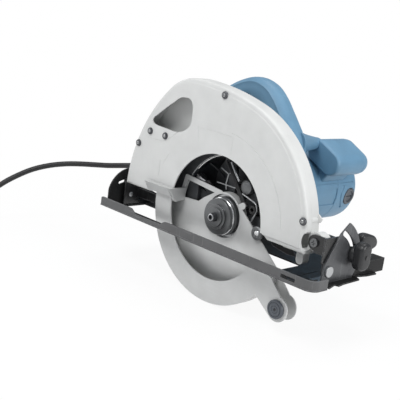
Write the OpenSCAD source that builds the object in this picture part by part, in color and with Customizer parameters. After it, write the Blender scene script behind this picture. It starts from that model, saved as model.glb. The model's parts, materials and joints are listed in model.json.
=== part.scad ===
// Circular saw with an upper guard, a sprung lower guard on rollers, a tilting shoe and a
// D-shaped main handle. Millimetres. X runs to the front of the shoe, Y from the blade side
// to the motor, Z up. Every shape is drawn around the spindle, then placed() moves the origin
// to the middle of the main grip.

/* [Blade space and guards] */
// Diameter of the blade that the saw is made for
blade_d = 235; // [232:1:236]
// Height of the spindle over the underside of the shoe
arbor_h = 36; // [35.9:0.1:36.6]
// Sheet thickness of the lower guard
guard_t = 1.8; // [1.6:0.1:1.9]
// Radius of the front arc of the upper guard
front_arc_r = 164; // [163.5:0.5:165]
// Radius of the long, nearly flat arc over the upper guard
top_arc_r = 395; // [390:5:405]
// Radius of the crown at the rear of the upper guard
crown_arc_r = 75; // [74:1:77]
// Radius of the rear flank of the upper guard
rear_arc_r = 226; // [224:1:228]
// Wall of the upper guard
guard_wall = 3; // [2.6:0.2:3.2]
// Radius of the round window in the cover
window_r = 86; // [86:0.25:87]

/* [Arbor] */
// Radius of the spindle at the flanges
spindle_r = 8.5; // [8.3:0.1:8.6]
// Radius of the blade bolt's shank
bolt_r = 3.9; // [3.5:0.1:4]
// Radius of the outer flange
outer_flange_r = 25; // [24:0.5:26]
// Radius of the inner flange
inner_flange_r = 27; // [26:0.5:28]

/* [Gears] */
// Module of the gear pair
gear_module = 1.25; // [1.2:0.01:1.25]
// Teeth on the output gear
gear_teeth = 45; // [44:1:45]
// Teeth on the motor pinion
pinion_teeth = 10; // [10:1:10]
// Direction of the motor shaft from the spindle, in degrees from the front
motor_angle = 93; // [91:1:95]

/* [Motor] */
// Outside radius of the motor housing
motor_r = 54; // [53.5:0.5:54.5]
// Distance of the motor's end from the blade plane
motor_end = 242; // [241:0.5:244]
// Wall of the motor housing
motor_wall = 3.4; // [3:0.2:3.6]

/* [Handles] */
// Distance of the main handle's parting plane from the blade plane
handle_y = 80; // [79:0.5:81]
// Width of the main handle
handle_w = 34; // [32:1:36]
// Thickness of the main grip
grip_t = 28; // [27:0.5:29]
// Wall of the handle shells
handle_wall = 2.6; // [2.4:0.1:2.8]
// Length of the front grip
front_grip_l = 80; // [76:1:82]

/* [Shoe] */
// Front edge of the shoe
shoe_front = 183; // [183:0.5:184]
// Rear edge of the shoe
shoe_rear = -213; // [-216:0.5:-213]
// Edge of the shoe on the blade side
shoe_near = -43; // [-46:0.5:-42]
// Edge of the shoe on the motor side
shoe_far = 129; // [128:0.5:132]
// Thickness of the shoe
shoe_t = 2; // [1.9:0.1:2.1]

/* [Cord] */
// Diameter of the mains lead
cord_d = 9; // [8.8:0.1:9]
// Turns in the stored coil
coil_turns = 6; // [6:1:6]

/* [Hidden] */
$fn = 96;
fit = 0.02;           // between pieces that are fixed together
run = 0.06;           // between a shaft and the hole it turns in
gap = 0.3;            // between pieces that move past each other

// upper guard
top_from = 72.7;      // where the four arcs of the upper guard meet, in degrees
crown_from = 88;
rear_from = 131.7;
front_arc = [-7, 4.7];
top_arc = front_arc - polar(top_arc_r - front_arc_r, top_from);
crown_arc = top_arc + polar(top_arc_r - crown_arc_r, crown_from);
rear_arc = crown_arc - polar(rear_arc_r - crown_arc_r, rear_from);
cover_y = -18;        // face of the cover
split_y = -6;         // joint between cover and case
back_y = 8.5;         // back of the case
sheet = 2;            // face of the cover and back of the case
case_open_r = 84;
mouth = 124;          // half length of the open underside
pivot = [165, 12.5];  // the shoe's depth pivot
pivot_boss_r = 12;
pivot_r = 4;
ear_t = 2;            // the bracket's ears on both sides of the boss
near_ear_y = split_y - 0.2 - gap - ear_t;
far_ear_y = 9.5;
cover_screw_at = [rear_arc + polar(rear_arc_r - 17.7, 151.5), rear_arc + polar(rear_arc_r - 46.6, 146.7),
                  rear_arc + polar(rear_arc_r - 6.2, 159.4), top_arc + polar(top_arc_r - 8, 79.8),
                  front_arc + polar(front_arc_r - 4.5, 11.3)];
cover_screw_r = 1.9;

// lower guard
guard_r = blade_d / 2 + 1.7 + guard_t;
lip_r = 87.6;
lip_y = -15;
disc_y = 5;
guard_from = -24;
guard_to = 176;
axle = polar(guard_r + 34.04, atan2(-2, 3));
axle_r = 3;
lug_r = 17;
roller_r = 12.5;
roller_w = 4.1;
hub_r = 33;
nose_r = 28.9;
lever_r = 85.2;
lever_top = 20.5;

// drive
centre_distance = gear_module * (gear_teeth + pinion_teeth) / 2;
motor_x = centre_distance * cos(motor_angle);
motor_z = centre_distance * sin(motor_angle);
gear_y = [24.5, 36.5];
drum_r = 32.6;
case_end_y = 52;
cap_y = 190;
brush_y = 216;
pressure = 25;

// handle
grip_x = -76;
grip_z = 157;
handle_path = [[36, 68], [40, 98], [37, 114], [27, 128], [14, 144], [2, 158], [-13, 170],
               [-34, 175.5], [-58, 169], [-95, 147], [-128, 118], [-152, 84], [-165, 48],
               [-163, 20], [-120, 6], [-70, 6], [-25, 18]];
trigger_at = [-72, 159.3];
trigger_lean = 30;
trigger_w = 18;
front_grip_at = [50.6, 88.9];
front_grip_y = 140;
front_grip_w = 57.5;
front_grip_t = 30.5;
front_grip_lean = -28.6;

// shoe and its two pivots
shoe_bottom = -arbor_h;
shoe_top = shoe_bottom + shoe_t;
bevel_z = -19;
bevel_pin_r = 4;
front_plate_x = 181;
plate_t = 2;
quadrant_x = front_plate_x + plate_t + gap;
quadrant_t = 2.5;
knob_r = 51;
knob_angle = 20;
knob_at = [knob_r * cos(knob_angle), bevel_z + knob_r * sin(knob_angle)];
rear_plate_x = rear_arc[0] - rear_arc_r - 8.5;
arm_r = 290;
arm_y = [11, 14];
clamp_angle = 2.5;
clamp_at = [pivot[0] - arm_r * cos(clamp_angle), pivot[1] + arm_r * sin(clamp_angle)];
fence_x = [165, 184];
fence_y = [60, shoe_far];
fence_top = -18;
fence_screw_at = [174.5, 92];

// cord: the exit, then points chosen by hand along the lead
cord_r = cord_d / 2;
floor_z = -guard_r - 0.5;
exit_at = [-177, 80, 28];
exit_dir = [-39, -4, -9] / norm([39, 4, 9]);
relief_l = 40;
coil_r = 50;
coil_at = [-530, -150];
coil_wide = 3;
coil_high = 2;
cord_route = [
  exit_at - 10 * exit_dir, exit_at, exit_at + 20 * exit_dir, exit_at + 40 * exit_dir,
  [-235, 74, 15], [-250, 72, 12], [-267, 69, 8.5], [-284, 65.5, 5], [-303, 59, 1],
  [-323, 49, -3], [-344, 38, -6], [-366, 24, -9], [-387, 8, -13], [-405, -12, -19],
  [-419, -36, -28], [-428, -60, -40], [-434, -82, -53], [-439, -102, -68],
  [-444.5, -121, -84], [-450, -138.5, -98.5], [-456.5, -155.5, -109.5], [-463, -171, -115.5],
  [-471.5, -186, -117], [-486.5, -203, -117], [-505, -214, -117]
];
// the short end from the plug back to the coil
plug_at = [coil_at[0] - 72, coil_at[1] - coil_r - (coil_wide + 1) * cord_r - 0.4, floor_z + 18];
tail_route = [plug_at + [26, 0, 0], plug_at + [38, 0, 0], plug_at + [46, 0, -1.5], plug_at + [54, 0, -6],
              plug_at + [62, 0, -10.5], plug_at + [72, 0, -13.4], plug_at + [84, 0.4, -13.5]];

// ---- helpers -------------------------------------------------------------------------

module placed() translate([-grip_x, -handle_y, -grip_z]) children();

// an outline in X and Z, between two distances from the blade plane
module slab(y0, y1) translate([0, y1, 0]) rotate([90, 0, 0]) linear_extrude(y1 - y0) children();

// an outline in Y and Z, between two distances along the saw
module plate_x(x0, x1) translate([x0, 0, 0]) rotate([90, 0, 90]) linear_extrude(x1 - x0) children();

module rod(r, y0, y1, at = [0, 0])
  translate([at[0], y1, at[1]]) rotate([90, 0, 0]) cylinder(r = r, h = y1 - y0);

module rod_x(r, x0, x1, at = [0, 0])
  translate([x0, at[0], at[1]]) rotate([0, 90, 0]) cylinder(r = r, h = x1 - x0);

module ring(outer, inner, y0, y1, at = [0, 0]) difference() {
  rod(outer, y0, y1, at);
  rod(inner, y0 - 1, y1 + 1, at);
}

// a band along straight lines, with round corners; the straights are a hair narrower, so that
// their sides cross the corners' circles and don't only touch them
module stroke(points, w) {
  for (p = points) translate(p) circle(d = w);
  for (i = [0 : len(points) - 2]) {
    step = points[i + 1] - points[i];
    translate(points[i]) rotate(atan2(step[1], step[0]))
      translate([0, 0.06 - w / 2]) square([norm(step), w - 0.12]);
  }
}

function polar(r, a) = r * [cos(a), sin(a)];
function arc(centre, r, a0, a1, n) = [for (i = [0 : n]) centre + polar(r, a0 + (a1 - a0) * i / n)];
motor = [motor_x, motor_z];

// ---- upper guard -----------------------------------------------------------------------

// four arcs that run into each other; the rear half ends 8 mm higher than the front half
front_foot_z = -5;
rear_foot_z = 3;

module guard_outline(inset = 0) {
  front_r = front_arc_r - inset;
  rear_r = rear_arc_r - inset;
  first = asin((front_foot_z + inset - front_arc[1]) / front_r);
  last = 180 - asin((rear_foot_z + inset - rear_arc[1]) / rear_r);
  polygon(concat(arc(front_arc, front_r, first, top_from, 24),
                 arc(top_arc, top_arc_r - inset, top_from, crown_from, 8),
                 arc(crown_arc, crown_arc_r - inset, crown_from, rear_from, 14),
                 arc(rear_arc, rear_r, rear_from, last, 16),
                 [[0, rear_foot_z + inset], [0, front_foot_z + inset]]));
}

module mouth_cut() translate([-mouth, -60]) square([2 * mouth, 60 + rear_foot_z + guard_wall]);

module cover_underside()
  polygon([[-250, 1.5], [-185, 2], [-132, 4], [-82, 21], [-60, 21], [60, 3], [89, 3], [101, -5],
           [139, -4], [250, -4], [250, -250], [-250, -250]]);

scoop_at = crown_arc + polar(crown_arc_r - 33.8, 151.5);
scoop = [[-41, -18], [-36, -7], [-19, 17], [-9, 22], [18, 25], [32, 22], [34, -10], [29, -15],
         [12, -22], [-36, -20]];

module scoop_outline(inset = 0) {
  span = 37;
  translate(scoop_at) scale((span - inset) / span) polygon(scoop);
}

module scoop_ramp(lift)
  translate([scoop_at[0], 0, scoop_at[1] - 34]) linear_extrude(70)
    polygon([[-50, cover_y - 1], [-50, cover_y + 3 - lift], [-40, cover_y + 3 - lift],
             [18, cover_y + 14 - lift], [40, cover_y + 14 - lift], [40, cover_y - 1]]);

module guard_cover() color([0.80, 0.81, 0.80]) difference() {
  union() {
    difference() {
      union() {
        slab(cover_y, cover_y + sheet) guard_outline();
        slab(cover_y, split_y - 0.2) difference() {
          guard_outline();
          guard_outline(guard_wall);
          mouth_cut();
        }
      }
      slab(cover_y - 1, split_y) {
        cover_underside();
        circle(window_r);
        translate(pivot) circle(pivot_boss_r + 2.5);
      }
      slab(cover_y - 1, cover_y + sheet + 1) scoop_outline();
    }
    intersection() {
      slab(cover_y, back_y - sheet) scoop_outline();
      scoop_ramp(0);
    }
    for (at = cover_screw_at) rod(5.5, cover_y, split_y - 0.2, at);
  }
  intersection() {
    slab(cover_y - 1, back_y) scoop_outline(1.8);
    scoop_ramp(1.8);
  }
  for (at = cover_screw_at) rod(cover_screw_r + fit, cover_y - 1, split_y + 1, at);
}

module blade_case() color([0.78, 0.79, 0.78]) difference() {
  union() {
    slab(split_y, back_y) difference() {
      guard_outline();
      guard_outline(guard_wall);
      mouth_cut();
    }
    slab(back_y - sheet, back_y) difference() {
      guard_outline();
      circle(case_open_r);
    }
    for (at = cover_screw_at) rod(5.5, split_y, back_y, at);
    rod(pivot_boss_r, near_ear_y + ear_t + gap, far_ear_y - gap, pivot);
    rod(7, back_y, arm_y[0] - gap, clamp_at);
    slab(split_y, back_y - sheet) {
      translate([139, -16.5]) square([11, 16.5]);
      translate([144.5, -16.5]) circle(5.5);
    }
  }
  for (at = cover_screw_at) rod(cover_screw_r + fit, split_y - 1, 2, at);
  rod(pivot_r + run, -12, 12, pivot);
  rod(axle_r + fit, 0, 12, clamp_at);
  for (a = foot_angles) rod(2 + fit, 5, 12, polar(foot_ring_r, a));
}

module cover_screws() color([0.35, 0.35, 0.36])
  for (at = cover_screw_at) {
    rod(cover_screw_r, cover_y, 1.5, at);
    difference() {
      rod(4.5, cover_y - 4, cover_y, at);
      translate([at[0], cover_y - 2, at[1]]) rotate([90, 0, 0]) cylinder(r = 2.1, h = 3, $fn = 6);
    }
  }

// ---- gear case and bearings ------------------------------------------------------------

foot_angles = [150, 95, 40, 6];
foot_ring_r = 100;
foot_r = 9;
foot_back_y = 22;
bell_r = 50;
lock_at = [30.5, -12];   // Y and Z of the shaft lock
block_x = clamp_at[0] + 44.7;
retainer_screw_r = 24.5;

module gear_case() color([0.22, 0.23, 0.24]) difference() {
  union() {
    rod(nose_r, 10, 16);
    rod(drum_r, 16, 46);
    rod(20, 38, case_end_y);
    rod(bell_r, 34, case_end_y, motor);
    rod(motor_r + 2, 46, case_end_y, motor);
    slab(16, foot_back_y) for (a = foot_angles) stroke([[0, 0], polar(86, a)], 12);
    for (a = foot_angles) rod(foot_r, back_y, foot_back_y, polar(foot_ring_r, a));
    slab(12, foot_back_y) stroke([[66, -5], [66, 4]], 18);
    slab(16, 30) stroke([[-20, 5], [block_x, 17]], 20);
    slab(9, 30) {
      translate([block_x - 14, 0]) square([28, 35]);
      for (side = [-14, 14]) stroke([[block_x + side, 6], [block_x + side, 29]], 12);
    }
    rod(2.5, 7, 17, spring_post);
    rod(6, 14, 36, [23, 44]);
    rod(6, 12, 36, [45, 20]);
    rod_x(9, -42, -20, lock_at);
  }
  rod(17, 9, 12);
  rod(20 + fit, 11.1, 23.1);
  rod(30.2, 23.1, 38);
  rod(9, 23.1, 42, motor);
  rod(16 + fit, 41, 51.1);
  rod(10, 37, 60);
  rod(17.5 + fit, 41, 60, motor);
  rod_x(5 + run, -43, -20, lock_at);
  for (a = foot_angles) {
    rod(2 + fit, 5, 20, polar(foot_ring_r, a));
    rod(4.6, 13, foot_back_y + 1, polar(foot_ring_r, a));
  }
  for (a = [45 : 90 : 315]) rod(1.5 + fit, 9, 19, polar(retainer_screw_r, a));
  for (a = housing_screw_angles) rod(2 + fit, 40, 60, motor + polar(housing_screw_r, a));
}

housing_screw_angles = [60, 150, 240, 330];
housing_screw_r = motor_r - 3;

module pan_screw(at, head_y, tip_y, head = 4) {
  // the head lies on the side away from the tip
  side = tip_y < head_y ? 1 : -1;
  rod(2, min(head_y, tip_y), max(head_y, tip_y), at);
  difference() {
    rod(head, min(head_y, head_y + 3 * side), max(head_y, head_y + 3 * side), at);
    translate([at[0], head_y + 2.6 * side, at[1]]) {
      cube([1.2, 3, 5], center = true);
      cube([5, 3, 1.2], center = true);
    }
  }
}

module case_screws() color([0.55, 0.56, 0.57]) {
  for (a = foot_angles) pan_screw(polar(foot_ring_r, a), 13, back_y - sheet + 0.2);
  for (a = housing_screw_angles) pan_screw(motor + polar(housing_screw_r, a), 64, 42);
  for (a = [45 : 90 : 315]) rod(1.5, 9.3, 16, polar(retainer_screw_r, a));
  for (a = [45 : 90 : 315]) rod(2.8, 8.4, 9.3, polar(retainer_screw_r, a));
  for (at = handle_screw_at)
    pan_screw(at, handle_y + handle_w / 2 - 6, handle_y - handle_w / 2 + 5, 3.6);
}

module bearing_retainer() color([0.6, 0.61, 0.62]) difference() {
  rod(30.2, 8.3, 10);
  rod(12, 7, 12);
  for (a = [45 : 90 : 315]) {
    rod(1.5 + fit, 7, 12, polar(retainer_screw_r, a));
    rod(2.8 + fit, 7, 9.3, polar(retainer_screw_r, a));
  }
}

module bearing(outer, inner, y0, w, at = [0, 0]) {
  // two races and a shield
  depth = outer - inner;
  ring(outer, outer - 0.28 * depth, y0, y0 + w, at);
  ring(inner + 0.28 * depth, inner, y0, y0 + w, at);
  ring(outer - 0.28 * depth, inner + 0.28 * depth, y0 + 0.6, y0 + w - 0.6, at);
}

module spindle_bearing_front() color([0.7, 0.7, 0.72]) bearing(20, spindle_r + run, 11.1, 12);

module spindle_bearing_rear() color([0.7, 0.7, 0.72]) bearing(16, 6 + run, 41, 10);

// ---- motor -----------------------------------------------------------------------------

bore_r = motor_r - motor_wall;
fan_r = bore_r - 4.6;

module housing_ears(y0, y1)
  intersection() {
    union() for (a = housing_screw_angles) rod(7, y0, y1, motor + polar(housing_screw_r, a));
    rod(motor_r + 2, y0 - 1, y1 + 1, motor);
  }

module motor_housing() color([0.37, 0.53, 0.66]) difference() {
  union() {
    difference() {
      rod(motor_r, case_end_y, cap_y, motor);
      rod(bore_r, case_end_y - 1, cap_y + 1, motor);
    }
    housing_ears(case_end_y, 64);
  }
  for (a = housing_screw_angles) {
    rod(2 + fit, 50, 70, motor + polar(housing_screw_r, a));
    rod(4.6, 64, 72, motor + polar(housing_screw_r, a));
  }
  // cooling air leaves here, under the handle
  for (a = [190 : 12 : 250]) translate([motor_x, 76, motor_z]) rotate([0, -a, 0])
    translate([bore_r - 4, -8, -1.5]) cube([20, 16, 3]);
}

end_round = 8;

// a place along a brush, counted outwards from the housing's surface
function cap_x(side, out) = motor_x + side * (motor_r + out);

module motor_end_cap() color([0.37, 0.53, 0.66]) difference() {
  union() {
    rod(motor_r, cap_y, motor_end - end_round, motor);
    translate([motor_x, 0, motor_z]) rotate([-90, 0, 0]) rotate_extrude()
      intersection() {
        translate([0, motor_end - end_round]) square([motor_r, end_round]);
        union() {
          translate([motor_r - end_round, motor_end - end_round]) circle(end_round);
          translate([0, motor_end - end_round]) square([motor_r - end_round, end_round]);
        }
      }
    for (side = [-1, 1]) rod_x(14.5, cap_x(side, -5) - 7, cap_x(side, -5) + 7, [brush_y, motor_z]);
  }
  difference() {
    rod(bore_r, cap_y - 1, motor_end - 5, motor);
    rod(14, 228, motor_end, motor);
    for (side = [-1, 1]) rod_x(14.5, cap_x(side, -5) - 7, cap_x(side, -5) + 7, [brush_y, motor_z]);
  }
  rod(11 + fit, 228, 236, motor);
  rod(7, 227, 238, motor);
  for (side = [-1, 1]) {
    rod_x(12.5 + fit, cap_x(side, 0) - 4, cap_x(side, 0) + 4, [brush_y, motor_z]);
    rod_x(7 + fit, cap_x(side, -6) - 10, cap_x(side, -6) + 10, [brush_y, motor_z]);
  }
  // cooling air enters here
  for (a = [0 : 20 : 340]) translate([motor_x, motor_end - 3, motor_z]) rotate([0, a, 0])
    translate([22, -5, -1.5]) cube([18, 12, 3]);
}

core_y = [96, 150];
core_r = 27;

module pole_sector(r, from, to)
  polygon(concat([[0, 0]], arc([0, 0], r, from, to, 6)));

module field_core() color([0.45, 0.45, 0.47]) slab(core_y[0], core_y[1]) translate(motor) {
  difference() {
    circle(bore_r - fit);
    circle(42);
  }
  for (a = [90, 270]) rotate(a) difference() {
    intersection() {
      circle(42.5);
      union() {
        translate([0, -17]) square([60, 34]);
        pole_sector(34, -52, 52);
      }
    }
    circle(core_r + 0.6);
  }
}

module field_coils() color([0.72, 0.42, 0.22]) for (a = [90, 270]) {
  slab(core_y[0] - 7, core_y[1] + 7) translate(motor) rotate(a) difference() {
    intersection() {
      circle(41.5);
      union() {
        translate([20, 17.4]) square([30, 6]);
        translate([20, -23.4]) square([30, 6]);
      }
    }
    circle(34.5);
  }
  for (y = [core_y[0] - 7, core_y[1] + 0.4]) slab(y, y + 6.6) translate(motor) rotate(a) difference() {
    intersection() {
      circle(41.5);
      translate([20, -17.5]) square([30, 35]);
    }
    circle(34.5);
  }
}

holder_l = motor_r - 24;

module brush_holders() color([0.75, 0.6, 0.3]) for (side = [-1, 1])
  translate([cap_x(side, -5 - holder_l / 2), brush_y, motor_z]) difference() {
    union() {
      cube([holder_l, 11, 8], center = true);
      translate([side * (holder_l / 2 - 2) - 3, 0, 0]) rotate([0, 90, 0]) cylinder(r = 7, h = 6);
    }
    cube([holder_l + 10, 9, 6], center = true);
  }

brush_from = 16.1;                     // where a brush meets the commutator
brush_l = motor_r - 36;                // it ends short of the cap's stem

module brushes() color([0.12, 0.12, 0.12]) for (side = [-1, 1])
  translate([motor_x + side * (brush_from + brush_l / 2), brush_y, motor_z])
    cube([brush_l, 9 - 2 * fit, 6 - 2 * fit], center = true);

module brush_caps() color([0.33, 0.34, 0.35]) for (side = [-1, 1]) difference() {
  union() {
    rod_x(12.5, cap_x(side, -1) - 2.5, cap_x(side, -1) + 2.5, [brush_y, motor_z]);
    rod_x(3, cap_x(side, -11) - 8, cap_x(side, -11) + 8, [brush_y, motor_z]);
  }
  translate([cap_x(side, 1.5), brush_y, motor_z]) cube([2.4, 18, 2], center = true);
}

module armature_bearing_front() color([0.7, 0.7, 0.72]) bearing(17.5, 7.5 + run, 41, 11, motor);

module armature_bearing_rear() color([0.7, 0.7, 0.72]) bearing(11, 4 + run, 229, 7, motor);

module armature_shaft() color([0.66, 0.67, 0.69]) {
  slab(gear_y[0] - 0.5, gear_y[1] + 0.5) translate(motor) rotate(motor_angle + 180 + 180 / pinion_teeth)
    toothed(pinion_teeth, 1.0);
  rod(4.6, gear_y[1] + 0.5, 41, motor);
  rod(7.5, 40, 53, motor);
  rod(6, 53, 204, motor);
  rod(5, 204, 228, motor);
  rod(4, 228, 236, motor);
}

module armature_core() color([0.5, 0.5, 0.52]) slab(core_y[0], core_y[1]) translate(motor) difference() {
  circle(core_r);
  circle(6 + fit);
  for (a = [15 : 30 : 345]) rotate(a) {
    translate([18, -1.2]) square([12, 2.4]);
    translate([18, 0]) circle(3);
  }
}

module armature_windings() color([0.74, 0.44, 0.22]) {
  for (y = [core_y[0] - 9, core_y[1]]) slab(y, y + 9) translate(motor) difference() {
    circle(22);
    circle(6 + fit);
  }
}

module commutator() color([0.78, 0.5, 0.3]) slab(205, 227) translate(motor) difference() {
  circle(16);
  circle(6 + fit);
  for (a = [0 : 15 : 345]) rotate(a) translate([14.8, -0.3]) square([3, 0.6]);
}

module cooling_fan() color([0.2, 0.2, 0.21]) {
  slab(65, 67) translate(motor) difference() {
    circle(fan_r);
    circle(6 + fit);
  }
  slab(67, 77) translate(motor) {
    difference() {
      circle(12);
      circle(6 + fit);
    }
    for (a = [0 : 36 : 324]) rotate(a) translate([11, -1]) square([fan_r - 13, 2]);
  }
}

// ---- gears and arbor -------------------------------------------------------------------

// the half width in degrees of a tooth at radius r, for an involute flank
function half_tooth(r, base, at_pitch, pitch_inv) =
  let (phi = r > base ? acos(base / r) : 0) at_pitch + pitch_inv - (tan(phi) * 180 / PI - phi);

module toothed(teeth, top) {
  pitch = gear_module * teeth / 2;
  base = pitch * cos(pressure);
  tip = pitch + 0.8 * top * gear_module;
  root = pitch - 1.1 * gear_module;
  start = max(base, root + 0.1);
  pitch_inv = tan(pressure) * 180 / PI - pressure;
  at_pitch = 82 / teeth;
  radii = [start, (start + tip) / 2, tip];
  polygon([for (k = [0 : teeth - 1]) let (mid = 360 * k / teeth) each concat(
    [polar(root, mid - half_tooth(start, base, at_pitch, pitch_inv))],
    [for (r = radii) polar(r, mid - half_tooth(r, base, at_pitch, pitch_inv))],
    [for (i = [2 : -1 : 0]) polar(radii[i], mid + half_tooth(radii[i], base, at_pitch, pitch_inv))],
    [polar(root, mid + half_tooth(start, base, at_pitch, pitch_inv))])]);
}

module output_gear() color([0.5, 0.5, 0.52]) difference() {
  slab(gear_y[0], gear_y[1]) rotate(motor_angle) toothed(gear_teeth, 1.0);
  rod(spindle_r + fit, gear_y[0] - 1, gear_y[1] + 1);
  difference() {
    rod(22, gear_y[0] - 1, gear_y[0] + 2.5);
    rod(13, gear_y[0] - 1, gear_y[0] + 2.5);
  }
}

module spindle() color([0.72, 0.72, 0.74]) difference() {
  union() {
    rod(spindle_r, -4, 37.5);
    rod(11, 7.6, 10.8);
    rod(7.5, 37.5, 40.6);
    rod(6, 40.6, 51);
  }
  rod(bolt_r + fit, -5, 14);
}

module inner_flange() color([0.46, 0.47, 0.48]) difference() {
  union() {
    rod(inner_flange_r, 0.5, 5);
    rod(inner_flange_r - 1, -2.2, 7.6);
    rod(12.5, -4.6, 0);
  }
  rod(spindle_r + fit, -6, 9);
}

module spacer_ring() color([0.78, 0.79, 0.8]) ring(23.6, 12.5 + fit, -4.8, -2.2);

module outer_flange() color([0.5, 0.51, 0.52]) difference() {
  union() {
    rod(outer_flange_r, -9.2, -4.8);
    rod(17, -12.2, -9);
  }
  rod(bolt_r + fit, -14, -3);
}

module blade_washer() color([0.6, 0.61, 0.62]) ring(13, bolt_r + fit, -14.2, -12.2);

module blade_bolt() color([0.3, 0.3, 0.31]) difference() {
  union() {
    rod(bolt_r, -15, 12);
    rod(6.2, -22, -14.2);
  }
  translate([0, -18, 0]) rotate([90, 0, 0]) cylinder(r = 3.46, h = 5, $fn = 6);
}

// ---- lower guard -----------------------------------------------------------------------

spring_post = [-10, 75];
spring_pin = [32.5, 22.5];
stop_at = [66, -5];
stop_r = 7;
edge_lean = atan2(-76, 93);

module guard_sector(r) polygon([[0, 0], polar(r, guard_from), [2 * r, -2 * r], [-2 * r, -2 * r],
                                polar(2 * r, guard_to)]);

module disc_keep()
  polygon([[0, 29], [29, 20], [122, -56], [200, -120], [200, -220], [-220, -220], [-220, 6],
           [-92, 6], [-51, 8], [-41, 16], [-20, 29]]);

module lug_outline() translate(axle) {
  circle(lug_r);
  polygon([[-16, 36], [0, 20], [17, 0], [0, 0], [-10.1, -13.7], [-37, 6], [-41, 14], [-29, 41]]);
}

module lug_web() {
  stroke([axle + [-34, 5], axle + [-10.5, -11.8]], guard_t);
  translate(axle) difference() {
    circle(lug_r);
    circle(lug_r - guard_t);
    rotate(-125) translate([-40, 0]) square([80, 40]);
    rotate(55) translate([-5, -80]) square([60, 160]);
  }
}

module lower_guard() color([0.83, 0.84, 0.83]) difference() {
  union() {
    slab(disc_y - guard_t, disc_y) {
      intersection() {
        circle(guard_r);
        disc_keep();
      }
      circle(hub_r);
      stroke([[-11, 30], [-80, 37]], 7);
      stroke([[-80, 37], [-88, 6]], 7);
      stroke([[26, 18], spring_pin], 9);
      lug_outline();
    }
    slab(lip_y, disc_y - guard_t / 2) difference() {
      intersection() {
        circle(guard_r);
        guard_sector(guard_r + 40);
      }
      circle(guard_r - guard_t);
    }
    slab(lip_y, lip_y + guard_t) {
      difference() {
        intersection() {
          circle(guard_r);
          guard_sector(guard_r + 40);
        }
        circle(lip_r);
      }
      difference() {
        lug_outline();
        circle(lip_r);
      }
    }
    slab(lip_y, disc_y) lug_web();
    rod(hub_r, disc_y - guard_t, 15);
    rod(2, disc_y - 1, 12, spring_pin);
    slab(disc_y - 1, 10) translate(stop_at) rotate(edge_lean)
      translate([-6, -stop_r - gap - 2.5]) square([12, 2.5]);
  }
  rod(30.5, disc_y - guard_t - 1, 10 + gap);
  rod(nose_r + run, 9, 17);
  rod(axle_r + fit, -30, 30, axle);
}

module guard_lever() color([0.83, 0.84, 0.83]) {
  // the root reaches through the window, the finger plate hangs in front of the cover
  intersection() {
    rod(lever_r, -31, disc_y - guard_t);
    plate_x(-95, -79)
      polygon([[-29, lever_top], [disc_y - guard_t, lever_top], [disc_y - guard_t, 3], [-14, 0.5]]);
  }
  plate_x(-134, -83)
    polygon([[-30, lever_top], [-19, lever_top], [-19, 7], [-21, 7], [-28, lever_top - 2.5]]);
}

module roller_pin() color([0.6, 0.61, 0.62]) {
  rod(axle_r, -20.7, 10.7, axle);
  rod(4.5, -20.7, lip_y - gap - roller_w - gap, axle);
  rod(4.5, disc_y + gap + roller_w + gap, 10.7, axle);
}

module roller(y0) color([0.55, 0.56, 0.57]) difference() {
  union() {
    rod(roller_r, y0 + 0.5, y0 + roller_w - 0.5, axle);
    rod(roller_r - 0.5, y0, y0 + roller_w, axle);
  }
  rod(axle_r + run, y0 - 1, y0 + roller_w + 1, axle);
}

module guard_roller_near() roller(lip_y - gap - roller_w);

module guard_roller_far() roller(disc_y + gap);

module guard_spring() color([0.08, 0.08, 0.09]) {
  span = spring_pin - spring_post;
  reach = norm(span);
  lean = atan2(span[1], span[0]);
  translate([spring_post[0], 9, spring_post[1]]) rotate([0, -lean, 0]) difference() {
    union() {
      translate([4, 0, 0]) rotate([0, 90, 0]) cylinder(r = 2.5, h = reach - 8);
      for (x = [0, reach]) translate([x, 1, 0]) rotate([90, 0, 0]) cylinder(r = 4.2, h = 2);
    }
    translate([0, 6, 0]) rotate([90, 0, 0]) cylinder(r = 2.5 + gap, h = 12);
    translate([reach, 6, 0]) rotate([90, 0, 0]) cylinder(r = 2.5, h = 12);
  }
}

module guard_stop() color([0.1, 0.1, 0.1]) {
  rod(stop_r, 6, 12, stop_at);
}

// ---- main handle -----------------------------------------------------------------------

handle_screw_at = [[38.5, 106], [-13, 170], [-128, 118], [-163, 22]];
exit_turn = [0, acos(exit_dir[2]), atan2(exit_dir[1], exit_dir[0])];

module handle_body(inset = 0) {
  half = handle_w / 2 - inset;
  slab(handle_y - half, handle_y + half) stroke(handle_path, grip_t - 9 - 2 * inset);
  slab(handle_y - half + 2, handle_y + half - 2) stroke(handle_path, grip_t - 4 - 2 * inset);
  slab(handle_y - half + 5, handle_y + half - 5) stroke(handle_path, grip_t - 2 * inset);
}

module trigger_frame() translate(trigger_at) rotate(trigger_lean) children();

module handle_shell() difference() {
  union() {
    difference() {
      handle_body();
      slab(0, 200) stroke([for (i = [4 : 12]) handle_path[i]], grip_t - 2 * handle_wall);
    }
    // solid ends of the shells' cheeks
    handle_cheeks();
  }
  rod(motor_r, 40, 120, motor);
  for (a = housing_screw_angles) rod(4.6, 40, 72, motor + polar(housing_screw_r, a));
  slab(handle_y - 9.4, handle_y + 9.4) trigger_frame() translate([-20.4, -20]) square([40.8, 20.4]);
  slab(handle_y - 10, handle_y + 10) trigger_frame() translate([-17, 0]) square([34, switch_top]);
  translate(exit_at - 14 * exit_dir) rotate(exit_turn) cylinder(r = 7 + fit, h = 40);
  for (at = handle_screw_at) {
    rod(2 + fit, handle_y - handle_w / 2 + 4, handle_y + handle_w / 2, at);
    rod(3.8, handle_y + handle_w / 2 - 6, handle_y + handle_w / 2 + 1, at);
  }
  slab(handle_y, handle_y + handle_w) trigger_frame() translate(button_at) circle(5 + run);
}

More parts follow.
